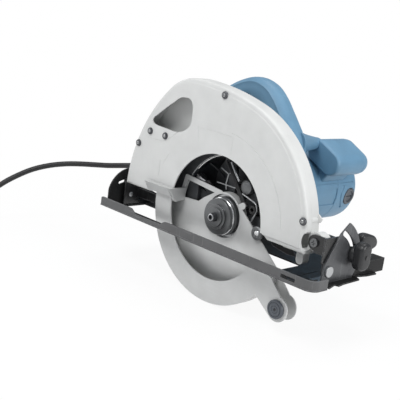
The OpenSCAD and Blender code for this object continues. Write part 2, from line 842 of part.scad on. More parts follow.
module handle_cheeks() {
  half = handle_w / 2;
  module cheek() stroke([for (i = [3 : 13]) handle_path[i]], grip_t - 9);
  slab(handle_y - half, handle_y - half + 5) cheek();
  slab(handle_y + half - 5, handle_y + half) cheek();
  for (at = handle_screw_at) rod(5, handle_y - half + 1, handle_y + half - 1, at);
}

module handle_half(y0, y1) intersection() {
  handle_shell();
  translate([-300, y0, -100]) cube([600, y1 - y0, 400]);
}

module handle_shell_near() color([0.37, 0.53, 0.66]) handle_half(handle_y - 30, handle_y);

module handle_shell_far() color([0.37, 0.53, 0.66]) handle_half(handle_y, handle_y + 30);

module trigger() color([0.1, 0.1, 0.11]) difference() {
  slab(handle_y - trigger_w / 2, handle_y + trigger_w / 2) trigger_frame() difference() {
    union() {
      translate([-20, -18]) square([40, 12.5]);
      stroke([[-15, -19], [15, -19]], 10);
    }
    translate([2, -52]) circle(30);
  }
}

module switch_body() color([0.15, 0.15, 0.16]) difference() {
  slab(handle_y - 9.8, handle_y + 9.8) trigger_frame() translate([-16, 0.2]) square([32, switch_top - 0.6]);
  slab(handle_y + trigger_w / 2 - 1, handle_y + 12) trigger_frame() translate(button_at) circle(5 + gap);
}

button_at = [10, 16 - grip_t / 2];
button_travel = 3;
switch_top = grip_t / 2 - handle_wall + 1.2;   // the shell's inner wall over the trigger

module lock_button() color([0.1, 0.1, 0.11])
  slab(handle_y + trigger_w / 2 + button_travel + gap, handle_y + handle_w / 2 + 4)
    trigger_frame() translate(button_at) circle(5);

module front_grip() color([0.37, 0.53, 0.66]) difference() {
  union() {
    translate([front_grip_at[0], 0, front_grip_at[1]]) rotate([0, -front_grip_lean, 0]) {
      grip_sleeve(front_grip_y, front_grip_y + front_grip_l - 14, 0);
      grip_sleeve(front_grip_y + front_grip_l - 15, front_grip_y + front_grip_l, 1.5);
    }
    slab(front_grip_y + 8, front_grip_y + front_grip_l - 16) stroke([motor, front_grip_at], 36);
    slab(handle_y + handle_w / 2, front_grip_y + 9) stroke([motor + [20, 26], front_grip_at + [-8, 6]], 22);
  }
  rod(motor_r, 90, 250, motor);
}

module grip_sleeve(y0, y1, inset) slab(y0, y1)
  stroke([[-(front_grip_w - front_grip_t) / 2, 0], [(front_grip_w - front_grip_t) / 2, 0]],
         front_grip_t - 2 * inset);

// ---- switchgear on the case ---------------------------------------------------------------

module shaft_lock() color([0.1, 0.1, 0.11]) {
  rod_x(5, -47, -36.5, lock_at);
}

// ---- cord ------------------------------------------------------------------------------

module cord_guard() color([0.09, 0.09, 0.1]) translate(exit_at - 12 * exit_dir) rotate(exit_turn)
  difference() {
    union() {
      cylinder(r = 7, h = 20);
      translate([0, 0, 15]) cylinder(r1 = 8.5, r2 = 5.8, h = relief_l - 3);
      for (s = [18 : 6 : 42]) translate([0, 0, s]) cylinder(r = 8.9 - 0.065 * s, h = 3);
    }
    translate([0, 0, -1]) cylinder(r = cord_r + 0.05, h = 80);
  }

// a tube swept along points, with its rings square to the mean of the two steps beside them
sides = 10;
function unit(v) = v / norm(v);
function heading(points, i) = unit(
  (i < len(points) - 1 ? unit(points[i + 1] - points[i]) : [0, 0, 0])
  + (i > 0 ? unit(points[i] - points[i - 1]) : [0, 0, 0]));
function ring_points(p, dir, r) =
  let (side = unit(cross(dir, [0, 0, 1])), up = cross(side, dir))
  [for (k = [0 : sides - 1]) p + r * (cos(360 * k / sides) * side + sin(360 * k / sides) * up)];

module tube(points, r) {
  n = len(points);
  verts = [for (i = [0 : n - 1]) each ring_points(points[i], heading(points, i), r)];
  walls = [for (i = [0 : n - 2]) for (k = [0 : sides - 1])
    let (a = i * sides + k, b = i * sides + (k + 1) % sides) each [[a, b, b + sides], [a, b + sides, a + sides]]];
  near_end = [for (k = [sides - 1 : -1 : 0]) k];
  far_end = [for (k = [0 : sides - 1]) (n - 1) * sides + k];
  polyhedron(verts, concat([near_end], walls, [far_end]));
}

module power_cord() color([0.07, 0.07, 0.08]) {
  tube(cord_route, cord_r);
  tube(tail_route, cord_r);
}

module cord_coil() color([0.07, 0.07, 0.08]) translate([coil_at[0], coil_at[1], floor_z]) difference() {
  rotate_extrude() translate([coil_r - coil_wide * cord_r, 0]) {
    translate([0, cord_r]) square([2 * coil_wide * cord_r, 2 * coil_high * cord_r - cord_d]);
    for (i = [0 : coil_wide - 1]) translate([(2 * i + 1) * cord_r, 0]) {
      translate([0, cord_r]) circle(cord_r);
      translate([0, 2 * coil_high * cord_r - cord_r]) circle(cord_r);
    }
  }
}

module plug_body() color([0.08, 0.08, 0.09]) translate(plug_at) rotate([0, -90, 0]) difference() {
  union() {
    cylinder(r = 18, h = 30);
    translate([0, 0, -14]) cylinder(r1 = 9, r2 = 16, h = 14.5);
    translate([0, 0, -38]) cylinder(r1 = 5.5, r2 = 8, h = 25);
  }
  translate([0, 0, -40]) cylinder(r = cord_r + 0.05, h = 14);
}

module plug_pins() color([0.75, 0.76, 0.78]) for (side = [-1, 1])
  translate(plug_at + [-30, side * 9.5, 0]) rotate([0, -90, 0]) {
    cylinder(r = 2.4, h = 17);
    translate([0, 0, 17]) cylinder(r1 = 2.4, r2 = 1.4, h = 2);
  }

// ---- depth setting ---------------------------------------------------------------------

module ear_outline() {
  translate(pivot) circle(10);
  translate([pivot[0], 0]) square([front_plate_x + plate_t - pivot[0], 22.5]);
}

module depth_bracket() color([0.13, 0.13, 0.14]) difference() {
  union() {
    for (y = [near_ear_y, far_ear_y]) slab(y, y + ear_t) ear_outline();
    plate_x(front_plate_x, front_plate_x + plate_t) {
      translate([-12, -8]) square([37, 31]);
      stroke([[0, 0], [0, bevel_z]], 18);
      stroke([[10, 4], knob_at], 16);
    }
  }
  rod(pivot_r + fit, -14, 14, pivot);
  rod_x(bevel_pin_r + run, 175, 190, [0, bevel_z]);
  rod_x(axle_r + fit, 175, 190, knob_at);
}

module depth_pivot_screw() color([0.75, 0.76, 0.78]) difference() {
  union() {
    rod(pivot_r, near_ear_y, far_ear_y + ear_t + 2.5, pivot);
    rod(5.5, near_ear_y - 3, near_ear_y, pivot);
    rod(5.5, far_ear_y + ear_t, far_ear_y + ear_t + 3, pivot);
  }
  translate([pivot[0], near_ear_y - 3, pivot[1]]) {
    cube([1.4, 3, 6], center = true);
    cube([6, 3, 1.4], center = true);
  }
}

// an arc band about the depth pivot; angles run up from the rear
module pivot_band(r0, r1, a0, a1)
  translate(pivot) polygon(concat(
    [for (i = [0 : 24]) polar(r1, 180 - a0 - (a1 - a0) * i / 24)],
    [for (i = [24 : -1 : 0]) polar(r0, 180 - a0 - (a1 - a0) * i / 24)]));

module depth_guide() color([0.5, 0.51, 0.52]) difference() {
  union() {
    slab(arm_y[0], arm_y[1]) {
      pivot_band(arm_r - 8, arm_r + 8, -6, 29);
      translate([rear_plate_x, -22]) square([pivot[0] - (arm_r - 14.3) * cos(6) - rear_plate_x, 14]);
    }
    plate_x(rear_plate_x, rear_plate_x + plate_t) {
      stroke([[0, bevel_z], [0, -17]], 18);
      translate([0, -22]) square([arm_y[1], 14]);
    }
  }
  slab(arm_y[0] - 1, arm_y[1] + 1) pivot_band(arm_r - 3.4, arm_r + 3.4, 0.5, 28);
  rod_x(bevel_pin_r + run, rear_plate_x - 5, rear_plate_x + 5, [0, bevel_z]);
}

module depth_bolt() color([0.6, 0.61, 0.62]) {
  rod(axle_r, back_y - sheet, 26, clamp_at);
  rod(5.5, 4, back_y - sheet, clamp_at);
  rod(5, 22.3, 26, clamp_at);
}

module depth_lever() color([0.1, 0.1, 0.11]) difference() {
  union() {
    rod(8, arm_y[1] + gap, 22, clamp_at);
    slab(arm_y[1] + 2, 21) translate(clamp_at) stroke([[0, 0], [-44, 4]], 9);
  }
  rod(axle_r + run, 10, 30, clamp_at);
}

// ---- shoe and bevel setting --------------------------------------------------------------

module rounded_plate(x0, x1, y0, y1, r) {
  translate([x0 + r, y0]) square([x1 - x0 - 2 * r, y1 - y0]);
  translate([x0, y0 + r]) square([x1 - x0, y1 - y0 - 2 * r]);
  for (x = [x0 + r, x1 - r]) for (y = [y0 + r, y1 - r]) translate([x, y]) circle(r);
}

module fence_holder() difference() {
  translate([fence_x[0], fence_y[0], shoe_bottom])
    cube([fence_x[1] - fence_x[0], fence_y[1] - fence_y[0], fence_top - shoe_bottom]);
  translate([fence_x[0] + 3, fence_y[0] - 1, shoe_top])
    cube([fence_x[1] - fence_x[0] - 6, 100, fence_top - shoe_top - 3]);
}

module shoe() color([0.11, 0.11, 0.12]) difference() {
  union() {
    translate([0, 0, shoe_bottom]) linear_extrude(shoe_t) {
      rounded_plate(shoe_rear, shoe_front, shoe_near, shoe_far, 8);
      polygon([[175, -9], [198, -10], [193, 8], [198, 10], [196, 23], [195, 58], [185, 63], [190, 83],
               [191, 103], [175, 112]]);
    }
    // folded edge on the blade side, lower where the guard's lever passes
    translate([shoe_rear + 8, shoe_near, shoe_bottom])
      cube([-141 - shoe_rear - 8, shoe_t, 13]);
    translate([-142, shoe_near, shoe_bottom]) cube([78, shoe_t, 6]);
    translate([-65, shoe_near, shoe_bottom]) cube([shoe_front - 8 + 65, shoe_t, 13]);
    translate([shoe_rear + 8, shoe_far - shoe_t, shoe_bottom]) cube([fence_x[0] - shoe_rear - 8, shoe_t, 6]);
    translate([shoe_front - shoe_t, shoe_near + 8, shoe_bottom]) cube([shoe_t, 20, 8]);
    fence_holder();
  }
  translate([-190, -24, shoe_bottom - 1]) cube([340, 51, 12]);
  translate([155, shoe_near - 1, shoe_bottom + 5]) cube([16, 4, 3]);
  translate([fence_screw_at[0], fence_screw_at[1], shoe_top]) cylinder(r = axle_r + run, h = 20);
}

module front_quadrant() color([0.3, 0.31, 0.32]) difference() {
  union() {
    plate_x(quadrant_x, quadrant_x + quadrant_t) {
      polygon(concat([[-12, shoe_top], [-9, -9], [15, 27]], arc([0, bevel_z], 66, 62, 8, 16),
                     [[fence_y[0] - 6, shoe_top]]));
      translate([0, bevel_z]) circle(10);
    }
    translate([162, -12, shoe_top]) cube([quadrant_x - 162 + 0.5, 66, 2]);
  }
  plate_x(quadrant_x - 1, quadrant_x + quadrant_t + 1) {
    translate([0, bevel_z]) {
      polygon(concat(arc([0, 0], knob_r + 3.6, knob_angle, knob_angle + 45, 12),
                     arc([0, 0], knob_r - 3.6, knob_angle + 45, knob_angle, 12)));
      for (a = [knob_angle, knob_angle + 45]) translate(polar(knob_r, a)) circle(3.6);
      circle(bevel_pin_r + fit);
    }
  }
  translate([161, -13, -50]) cube([8, 40.5, 40]);
}

module rear_quadrant() color([0.3, 0.31, 0.32]) difference() {
  union() {
    plate_x(rear_plate_x - gap - quadrant_t, rear_plate_x - gap) {
      intersection() {
        translate([0, bevel_z]) circle(42);
        translate([shoe_near + shoe_t + gap, shoe_top]) square([18 - shoe_near - shoe_t - gap, 70]);
      }
    }
    translate([rear_plate_x - 13.3, -38, shoe_top]) cube([12.5, 54, 2]);
  }
  plate_x(rear_plate_x - 12, rear_plate_x + 8) {
    translate([0, bevel_z]) circle(bevel_pin_r + fit);
    stroke([[-21.5, 0.5], [-14, 2.5]], 4.4);
  }
}

module bevel_rivets() color([0.6, 0.61, 0.62]) {
  rod_x(bevel_pin_r, front_plate_x - gap - 2, quadrant_x + quadrant_t + 2, [0, bevel_z]);
  rod_x(7, quadrant_x + quadrant_t, quadrant_x + quadrant_t + 2.4, [0, bevel_z]);
  rod_x(6, front_plate_x - gap - 2, front_plate_x - gap, [0, bevel_z]);
  rear_face = rear_plate_x - gap - quadrant_t;
  rod_x(bevel_pin_r, rear_face - 2, rear_plate_x + plate_t + gap + 2, [0, bevel_z]);
  rod_x(7, rear_face - 2.4, rear_face, [0, bevel_z]);
  rod_x(6, rear_plate_x + plate_t + gap, rear_plate_x + plate_t + gap + 2, [0, bevel_z]);
}

module bevel_bolt() color([0.6, 0.61, 0.62]) {
  rod_x(axle_r, front_plate_x - 3, 207, knob_at);
  rod_x(6, front_plate_x - 3.5, front_plate_x, knob_at);
}

module bevel_knob() color([0.1, 0.1, 0.11]) difference() {
  union() {
    rod_x(8, quadrant_x + quadrant_t + gap, 203, knob_at);
    plate_x(193, 206) translate(knob_at) rotate(95) stroke([[-13, 0], [13, 0]], 9);
  }
  rod_x(axle_r + run, 180, 210, knob_at);
}

module fence_screw() color([0.65, 0.66, 0.68]) translate([fence_screw_at[0], fence_screw_at[1], 0]) {
  translate([0, 0, -27]) cylinder(r = axle_r, h = 27);
  translate([0, 0, -6]) cylinder(r = 6, h = 10);
  translate([0, 2, 0]) rotate([90, 0, 0]) linear_extrude(4)
    difference() {
      stroke([[-13, 9], [-5, 0], [5, 0], [13, 9]], 8);
      translate([-2, 8]) square([4, 12]);
    }
}

// ---- the parts in place ------------------------------------------------------------------

placed() blade_case();
placed() guard_cover();
placed() cover_screws();
placed() gear_case();
placed() case_screws();
placed() bearing_retainer();
placed() spindle_bearing_front();
placed() spindle_bearing_rear();
placed() motor_housing();
placed() motor_end_cap();
placed() field_core();
placed() field_coils();
placed() brush_holders();
placed() brushes();
placed() brush_caps();
placed() armature_bearing_front();
placed() armature_bearing_rear();
placed() handle_shell_near();
placed() handle_shell_far();
placed() front_grip();
placed() cord_guard();
placed() power_cord();
placed() cord_coil();
placed() plug_body();
placed() plug_pins();
placed() switch_body();
placed() trigger();
placed() lock_button();
placed() shaft_lock();
placed() guard_spring();
placed() guard_stop();
placed() depth_bolt();
placed() spindle();
placed() output_gear();
placed() inner_flange();
placed() spacer_ring();
placed() outer_flange();
placed() blade_washer();
placed() blade_bolt();
placed() armature_shaft();
placed() armature_core();
placed() armature_windings();
placed() commutator();
placed() cooling_fan();
placed() lower_guard();
placed() guard_lever();
placed() roller_pin();
placed() guard_roller_near();
placed() guard_roller_far();
placed() depth_bracket();
placed() depth_pivot_screw();
placed() depth_guide();
placed() depth_lever();
placed() shoe();
placed() front_quadrant();
placed() rear_quadrant();
placed() bevel_rivets();
placed() bevel_bolt();
placed() bevel_knob();
placed() fence_screw();
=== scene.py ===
# %% [markdown]
# # A circular saw, dressed for the camera
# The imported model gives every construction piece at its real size. Blender adds what makes it look
# real: soft mouldings, cast rims, screws, a mains lead and the finish of each surface. This first
# cell loads the frame and measures it, so that later cells can place pieces.

# %% Load the frame
import json
import math

import bmesh
import bpy
import numpy as np
from mathutils import Matrix, Vector

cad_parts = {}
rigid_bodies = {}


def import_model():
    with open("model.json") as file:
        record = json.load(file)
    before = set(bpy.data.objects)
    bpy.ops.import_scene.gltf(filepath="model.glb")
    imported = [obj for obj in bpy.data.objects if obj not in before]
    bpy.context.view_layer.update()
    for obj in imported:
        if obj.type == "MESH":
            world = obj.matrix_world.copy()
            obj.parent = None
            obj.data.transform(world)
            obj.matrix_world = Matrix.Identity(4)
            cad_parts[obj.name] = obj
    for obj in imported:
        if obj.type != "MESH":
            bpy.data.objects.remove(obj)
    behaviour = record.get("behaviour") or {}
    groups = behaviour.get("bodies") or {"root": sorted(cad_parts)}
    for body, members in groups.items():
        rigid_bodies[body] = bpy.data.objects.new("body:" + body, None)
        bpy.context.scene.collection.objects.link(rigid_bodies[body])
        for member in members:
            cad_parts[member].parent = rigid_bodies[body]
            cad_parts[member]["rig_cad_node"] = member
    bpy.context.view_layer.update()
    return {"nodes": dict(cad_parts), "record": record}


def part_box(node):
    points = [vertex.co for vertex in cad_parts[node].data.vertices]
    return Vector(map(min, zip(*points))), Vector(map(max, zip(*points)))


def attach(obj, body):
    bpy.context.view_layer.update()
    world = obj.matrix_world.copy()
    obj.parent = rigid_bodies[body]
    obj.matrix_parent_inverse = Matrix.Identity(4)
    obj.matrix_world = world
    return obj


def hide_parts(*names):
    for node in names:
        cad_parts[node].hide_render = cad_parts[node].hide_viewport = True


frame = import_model()
SCENE = bpy.context.scene
SCENE.view_settings.view_transform = "Standard"

# %% [markdown]
# ## The saw's own drawing frame
# A saw is drawn from its spindle: X to the front, Y from the blade towards the motor, Z up. The
# spindle node gives that origin, and `at()` turns millimetres on the drawing into scene metres.

# %% Drawing frame
spindle_lo, spindle_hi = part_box("spindle")
SPINDLE_START = 4.0   # the spindle begins this far in front of the blade plane
origin = Vector(((spindle_lo.x + spindle_hi.x) / 2, spindle_lo.y + SPINDLE_START / 1000,
                 (spindle_lo.z + spindle_hi.z) / 2))


def at(x, y, z):
    """Millimetres on the drawing to a point in the scene."""
    return origin + Vector((x, y, z)) / 1000


def drawn(node):
    """A node's lowest and highest corner on the drawing, in millimetres."""
    lo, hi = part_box(node)
    return 1000 * (lo - origin), 1000 * (hi - origin)


housing_lo, housing_hi = drawn("motor_housing")
shoe_lo, shoe_hi = drawn("shoe")
MOTOR_R = 54.0
MOTOR_X = (housing_lo.x + housing_hi.x) / 2
MOTOR_Z = housing_hi.z - MOTOR_R
CAP_START = drawn("motor_end_cap")[0].y
HANDLE_Y = drawn("handle_shell_near")[1].y
print("motor axis at x %.1f, z %.1f; handle parting plane at y %.1f" % (MOTOR_X, MOTOR_Z, HANDLE_Y))

# %% [markdown]
# ## Camera and lead first
# The camera looks down a little from the front left corner of the shoe, with a slight roll because
# the saw leans on its guard.

# %% Camera
CAMERA_AZIMUTH = 44.195
CAMERA_HEIGHT = 12.999
CAMERA_ROLL = 7.589
CAMERA_PLACE = at(673.84, -739.44, 249.27)
LENS = 67.5


def make_camera():
    data = bpy.data.cameras.new("camera")
    data.lens = LENS
    data.clip_end = 30
    camera = bpy.data.objects.new("camera", data)
    turn = (Matrix.Rotation(math.radians(CAMERA_AZIMUTH), 4, "Z")
            @ Matrix.Rotation(math.radians(90 - CAMERA_HEIGHT), 4, "X")
            @ Matrix.Rotation(math.radians(CAMERA_ROLL), 4, "Z"))
    camera.matrix_world = Matrix.Translation(CAMERA_PLACE) @ turn
    SCENE.collection.objects.link(camera)
    SCENE.camera = camera
    return camera


camera = make_camera()
print("camera right", [round(v, 4) for v in camera.matrix_world.col[0][:3]])

# %% [markdown]
# ## Helpers that make meshes
# Most pieces come from three moves: turn a profile round an axis, extrude an outline, or sweep a
# section along a path. Each helper writes plain vertices in place, so that objects stay at the origin.

# %% Mesh helpers
def mesh_piece(name, verts, faces, smooth=True):
    mesh = bpy.data.meshes.new(name)
    mesh.from_pydata([tuple(v) for v in verts], [], faces)
    mesh.validate()
    obj = bpy.data.objects.new(name, mesh)
    SCENE.collection.objects.link(obj)
    tidy(obj, smooth)
    return obj


def tidy(obj, smooth):
    """Merges doubles, points the faces outwards and shades the piece."""
    work = bmesh.new()
    work.from_mesh(obj.data)
    bmesh.ops.remove_doubles(work, verts=work.verts, dist=1e-6)
    bmesh.ops.recalc_face_normals(work, faces=work.faces)
    for face in work.faces:
        face.smooth = smooth
    work.to_mesh(obj.data)
    work.free()


def turned(name, profile, axis, centre, steps):
    """Turns (radius, distance) pairs round an axis through centre; closed where the radius is 0."""
    u, v, w = {"X": ((0, 1, 0), (0, 0, 1), (1, 0, 0)), "Y": ((0, 0, 1), (1, 0, 0), (0, 1, 0)),
               "Z": ((1, 0, 0), (0, 1, 0), (0, 0, 1))}[axis]
    u, v, w, centre = Vector(u), Vector(v), Vector(w), Vector(centre)
    verts, faces = [], []
    for r, d in profile:
        for k in range(steps):
            a = 2 * math.pi * k / steps
            verts.append(at(*(centre + r * math.cos(a) * u + r * math.sin(a) * v + d * w)))
    count = len(profile)
    closed = profile[0][0] > 1e-6
    for i in range(count if closed else count - 1):
        j = (i + 1) % count
        for k in range(steps):
            m = (k + 1) % steps
            faces.append((i * steps + k, i * steps + m, j * steps + m, j * steps + k))
    return mesh_piece(name, verts, faces)


def prism(name, first, last):
    """A body between two equal outlines."""
    n = len(first)
    faces = [tuple(range(n)), tuple(range(2 * n - 1, n - 1, -1))]
    faces += [(i, (i + 1) % n, n + (i + 1) % n, n + i) for i in range(n)]
    return mesh_piece(name, first + last, faces, False)


def slab(name, outline, y0, y1):
    """An outline in X and Z between two distances from the blade plane."""
    return prism(name, [at(x, y0, z) for x, z in outline], [at(x, y1, z) for x, z in outline])


def block(name, lo, hi):
    """A box between two drawn corners, used as a cutter."""
    (x0, y0, z0), (x1, y1, z1) = lo, hi
    return slab(name, [(x0, z0), (x1, z0), (x1, z1), (x0, z1)], y0, y1)


def modifier(obj, kind, **settings):
    made = obj.modifiers.new(kind.lower(), kind)
    for key, value in settings.items():
        setattr(made, key, value)


def apply_modifiers(obj):
    """Turns the evaluated piece into its own mesh."""
    bpy.context.view_layer.update()
    depsgraph = bpy.context.evaluated_depsgraph_get()
    mesh = bpy.data.meshes.new_from_object(obj.evaluated_get(depsgraph))
    obj.modifiers.clear()
    obj.data = mesh
    return obj


def carve(obj, *cutters):
    """Cuts closed cutters away, and removes them afterwards."""
    for cutter in cutters:
        modifier(obj, "BOOLEAN", object=cutter, operation="DIFFERENCE", solver="EXACT")
        apply_modifiers(obj)
        mesh = cutter.data
        bpy.data.objects.remove(cutter)
        bpy.data.meshes.remove(mesh)
    return obj


def arc(centre, radius, start, end, steps):
    """Points on an arc, in degrees."""
    angles = [math.radians(start + (end - start) * i / steps) for i in range(steps + 1)]
    return [(centre[0] + radius * math.cos(a), centre[1] + radius * math.sin(a)) for a in angles]


def rounded_box(u0, u1, v0, v1, r, steps):
    """A rectangle with round corners, anticlockwise."""
    return (arc((u1 - r, v0 + r), r, -90, 0, steps) + arc((u1 - r, v1 - r), r, 0, 90, steps)
            + arc((u0 + r, v1 - r), r, 90, 180, steps) + arc((u0 + r, v0 + r), r, 180, 270, steps))


def spline(points, per_step):
    """A smooth line through points: centripetal Catmull-Rom, as a list of vectors."""
    p = [Vector(q) for q in points]
    p = [2 * p[0] - p[1], *p, 2 * p[-1] - p[-2]]
    out = []
    for i in range(1, len(p) - 2):
        a, b, c, d = p[i - 1:i + 3]
        ta = max((b - a).length, 1e-9) ** 0.5
        tb = max((c - b).length, 1e-9) ** 0.5
        tc = max((d - c).length, 1e-9) ** 0.5
        m1 = (c - b) / tb - (c - a) / (ta + tb) + (b - a) / ta
        m2 = (d - c) / tc - (d - b) / (tb + tc) + (c - b) / tb
        for k in range(per_step):
            t = k / per_step
            out.append((2 * t ** 3 - 3 * t ** 2 + 1) * b + (t ** 3 - 2 * t ** 2 + t) * tb * m1
                       + (3 * t ** 2 - 2 * t ** 3) * c + (t ** 3 - t ** 2) * tb * m2)
    return out + [p[-2]]


def swept(name, rings):
    """A skin over rings of equally many points, closed at both ends."""
    n = len(rings[0])
    verts = [p for ring in rings for p in ring]
    faces = []
    for i in range(len(rings) - 1):
        for k in range(n):
            m = (k + 1) % n
            faces.append((i * n + k, i * n + m, (i + 1) * n + m, (i + 1) * n + k))
    faces += [tuple(range(n - 1, -1, -1)), tuple(range((len(rings) - 1) * n, len(rings) * n))]
    return mesh_piece(name, verts, faces)


def joined(name, parts):
    """Several meshes as one object."""
    work = bmesh.new()
    for part in parts:
        work.from_mesh(part.data)
    mesh = bpy.data.meshes.new(name)
    work.to_mesh(mesh)
    work.free()
    for part in parts:
        bpy.data.objects.remove(part)
    obj = bpy.data.objects.new(name, mesh)
    SCENE.collection.objects.link(obj)
    return obj


print("helpers ready")

# %% [markdown]
# ## The mains lead
# A saw has a few metres of rubber lead. It leaves the handle through a sleeve, sags off to the left,
# reaches the floor and is put away in a flat coil of two layers, with its plug beside it. A curve
# with a round bevel is right for it, because the curve's own line keeps the real length.

# %% Lead
CORD_D = 9.0
FLOOR_Z = -121.5
EXIT = Vector((-177, 80, 28))
EXIT_DIRECTION = Vector((-39, -4, -9)).normalized()
COIL_AT = Vector((-530, -150, 0))
PLUG_AT = Vector((-602, -218.4, FLOOR_Z + 18))
LEAD_ROUTE = [
    (-235, 74, 15), (-250, 72, 12), (-267, 69, 8.5), (-284, 65.5, 5), (-303, 59, 1),
    (-323, 49, -3), (-344, 38, -6), (-366, 24, -9), (-387, 8, -13), (-405, -12, -19),
    (-419, -36, -28), (-428, -60, -40), (-434, -82, -53), (-439, -102, -68), (-444.5, -121, -84),
    (-450, -138.5, -98.5), (-456.5, -155.5, -109.5), (-462.5, -171, -115.5)]


def coil_points():
    """Three turns inwards on the floor, a climb, and three turns outwards on top of them."""
    floor, outer, inner, widen = FLOOR_Z + CORD_D / 2, 67.0, 40.0, 27.6
    start, turn, climb, back = -24.0, 1080.0, 100.0, 1046.0   # degrees; it ends level with the plug
    finish = start - turn - climb - back
    points = []
    steps = 190
    for i in range(steps + 1):
        a = start + (finish - start) * i / steps
        done = start - a
        if done < turn:
            r, z = outer + (inner - outer) * done / turn, floor
        elif done < turn + climb:
            t = (done - turn) / climb
            r, z = inner, floor + CORD_D * (3 * t ** 2 - 2 * t ** 3)
        else:
            r, z = inner + widen * (done - turn - climb) / back, floor + CORD_D
        c = math.radians(a)
        points.append(Vector((COIL_AT.x + r * math.cos(c), COIL_AT.y + r * math.sin(c), z)))
    return points


def lead_points():
    points = [EXIT, EXIT + 20 * EXIT_DIRECTION, EXIT + 40 * EXIT_DIRECTION]
    points += [Vector(p) for p in LEAD_ROUTE]
    points += coil_points()
    points += [PLUG_AT + Vector(v) for v in ((56, 0.3, 4.2), (44, 0, 2), (34, 0, 0), (28, 0, 0))]
    return points


def make_lead():
    points = spline(lead_points(), 3)
    data = bpy.data.curves.new("power_lead", "CURVE")
    data.dimensions = "3D"
    data.bevel_depth = 1.0
    data.bevel_resolution = 4
    line = data.splines.new("POLY")
    line.points.add(len(points) - 1)
    for target, p in zip(line.points, points):
        target.co = (*at(*p), 1)
        target.radius = CORD_D / 2000
    line.use_smooth = True
    obj = bpy.data.objects.new("power_lead", data)
    SCENE.collection.objects.link(obj)
    length = sum((b - a).length for a, b in zip(points, points[1:])) / 1000
    return obj, length


lead, lead_length = make_lead()
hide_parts("power_cord", "cord_coil")
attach(lead, "housing")
print("lead length, m: %.3f" % lead_length)

# %% [markdown]
# ## Effects that several finishes share
# A real finish is never one flat colour. Castings have a fine grain, mouldings a spark-eroded skin,
# sheet steel fine scratches, and every edge that is handled is rubbed bright. Each effect is one
# shader node group with named sockets, so that each material can place it with its own values.

# %% Node helpers
def feed(socket, value):
    """Links another node's output to a socket, or sets the socket's own value."""
    if isinstance(value, bpy.types.NodeSocket):
        socket.id_data.links.new(value, socket)
    else:
        socket.default_value = value


def put(tree, kind, **settings):
    """Adds a node: settings that name a socket feed it, the others set the node's own choice."""
    node = tree.nodes.new(kind if "Node" in kind else "ShaderNode" + kind)
    for key, value in settings.items():
        if hasattr(node, key):
            setattr(node, key, value)
        else:
            feed(node.inputs[key.replace("_", " ")], value)
    return node


def maths(tree, operation, *values, kind="Math", output=0):
    """A Math or VectorMath node on sockets or plain values; returns one output."""
    node = put(tree, kind, operation=operation)
    for socket, value in zip(node.inputs, values):
        feed(socket, value)
    return node.outputs[output]


def spread(tree, value, low, high, out_low=0.0, out_high=1.0):
    """Stretches a value from low..high to another range, clamped."""
    return put(tree, "MapRange", clamp=True, Value=value, From_Min=low, From_Max=high,
               To_Min=out_low, To_Max=out_high).outputs[0]


def new_tree(name, kind, inputs, outputs):
    """A node group from (label, kind, default) inputs; returns it, its inputs' values and its end."""
    tree = bpy.data.node_groups.new(name, kind + "NodeTree")
    for label, socket_kind, value in inputs:
        socket = tree.interface.new_socket(label, in_out="INPUT", socket_type="NodeSocket" + socket_kind)
        if value is not None:
            socket.default_value = value
    for label, socket_kind in outputs:
        tree.interface.new_socket(label, in_out="OUTPUT", socket_type="NodeSocket" + socket_kind)
    return tree, tree.nodes.new("NodeGroupInput").outputs, tree.nodes.new("NodeGroupOutput").inputs


def effect(name, control, value, *outputs):
    """A shader group with a Vector and one number to control it."""
    return new_tree(name, "Shader", [("Vector", "Vector", None), (control, "Float", value)],
                    [(label, "Float") for label in outputs])


# %% Fine grain
def make_grain():
    """A cast or spark-eroded skin: two sizes of noise, as a height and as a mottle."""
    tree, given, out = effect("fine_grain", "Size", 0.0006, "Height", "Mottle")
    scale = maths(tree, "DIVIDE", 1.0, given["Size"])
    fine = put(tree, "TexNoise", Vector=given["Vector"], Scale=scale, Detail=3.0, Roughness=0.6)
    broad = put(tree, "TexNoise", Vector=given["Vector"], Scale=38.0, Detail=4.0, Roughness=0.55)
    feed(out["Height"], fine.outputs["Fac"])
    feed(out["Mottle"], spread(tree, broad.outputs["Fac"], 0.3, 0.7))
    return tree


# %% Rubbed edges
def make_rubbed():
    """Finds edges by comparing a rounded normal with the true one, and breaks them up with noise."""
    tree, given, out = effect("rubbed_edges", "Amount", 0.5, "Mask")
    rounded = put(tree, "Bevel", samples=4, Radius=0.0009).outputs["Normal"]
    true = put(tree, "NewGeometry").outputs["Normal"]
    dot = maths(tree, "DOT_PRODUCT", rounded, true, kind="VectorMath", output="Value")
    breaks = put(tree, "TexNoise", Vector=given["Vector"], Scale=260.0, Detail=3.0)
    broken = maths(tree, "MULTIPLY", spread(tree, dot, 0.995, 0.86),
                   spread(tree, breaks.outputs["Fac"], 0.38, 0.62))
    feed(out["Mask"], maths(tree, "MULTIPLY", broken, given["Amount"]))
    return tree


# %% Fine scratches
def make_scratches():
    """Long thin marks in two directions, from noise that is stretched along the saw."""
    tree, given, out = effect("fine_scratches", "Density", 0.5, "Mask")
    marks = []
    for stretch in ((14, 900, 420), (620, 700, 20)):
        place = put(tree, "Mapping", Vector=given["Vector"], Scale=stretch)
        noise = put(tree, "TexNoise", Vector=place.outputs["Vector"], Scale=1.0, Detail=2.0)
        marks.append(spread(tree, noise.outputs["Fac"], 0.66, 0.74))
    both = maths(tree, "MAXIMUM", *marks)
    feed(out["Mask"], maths(tree, "MULTIPLY", both, given["Density"]))
    return tree


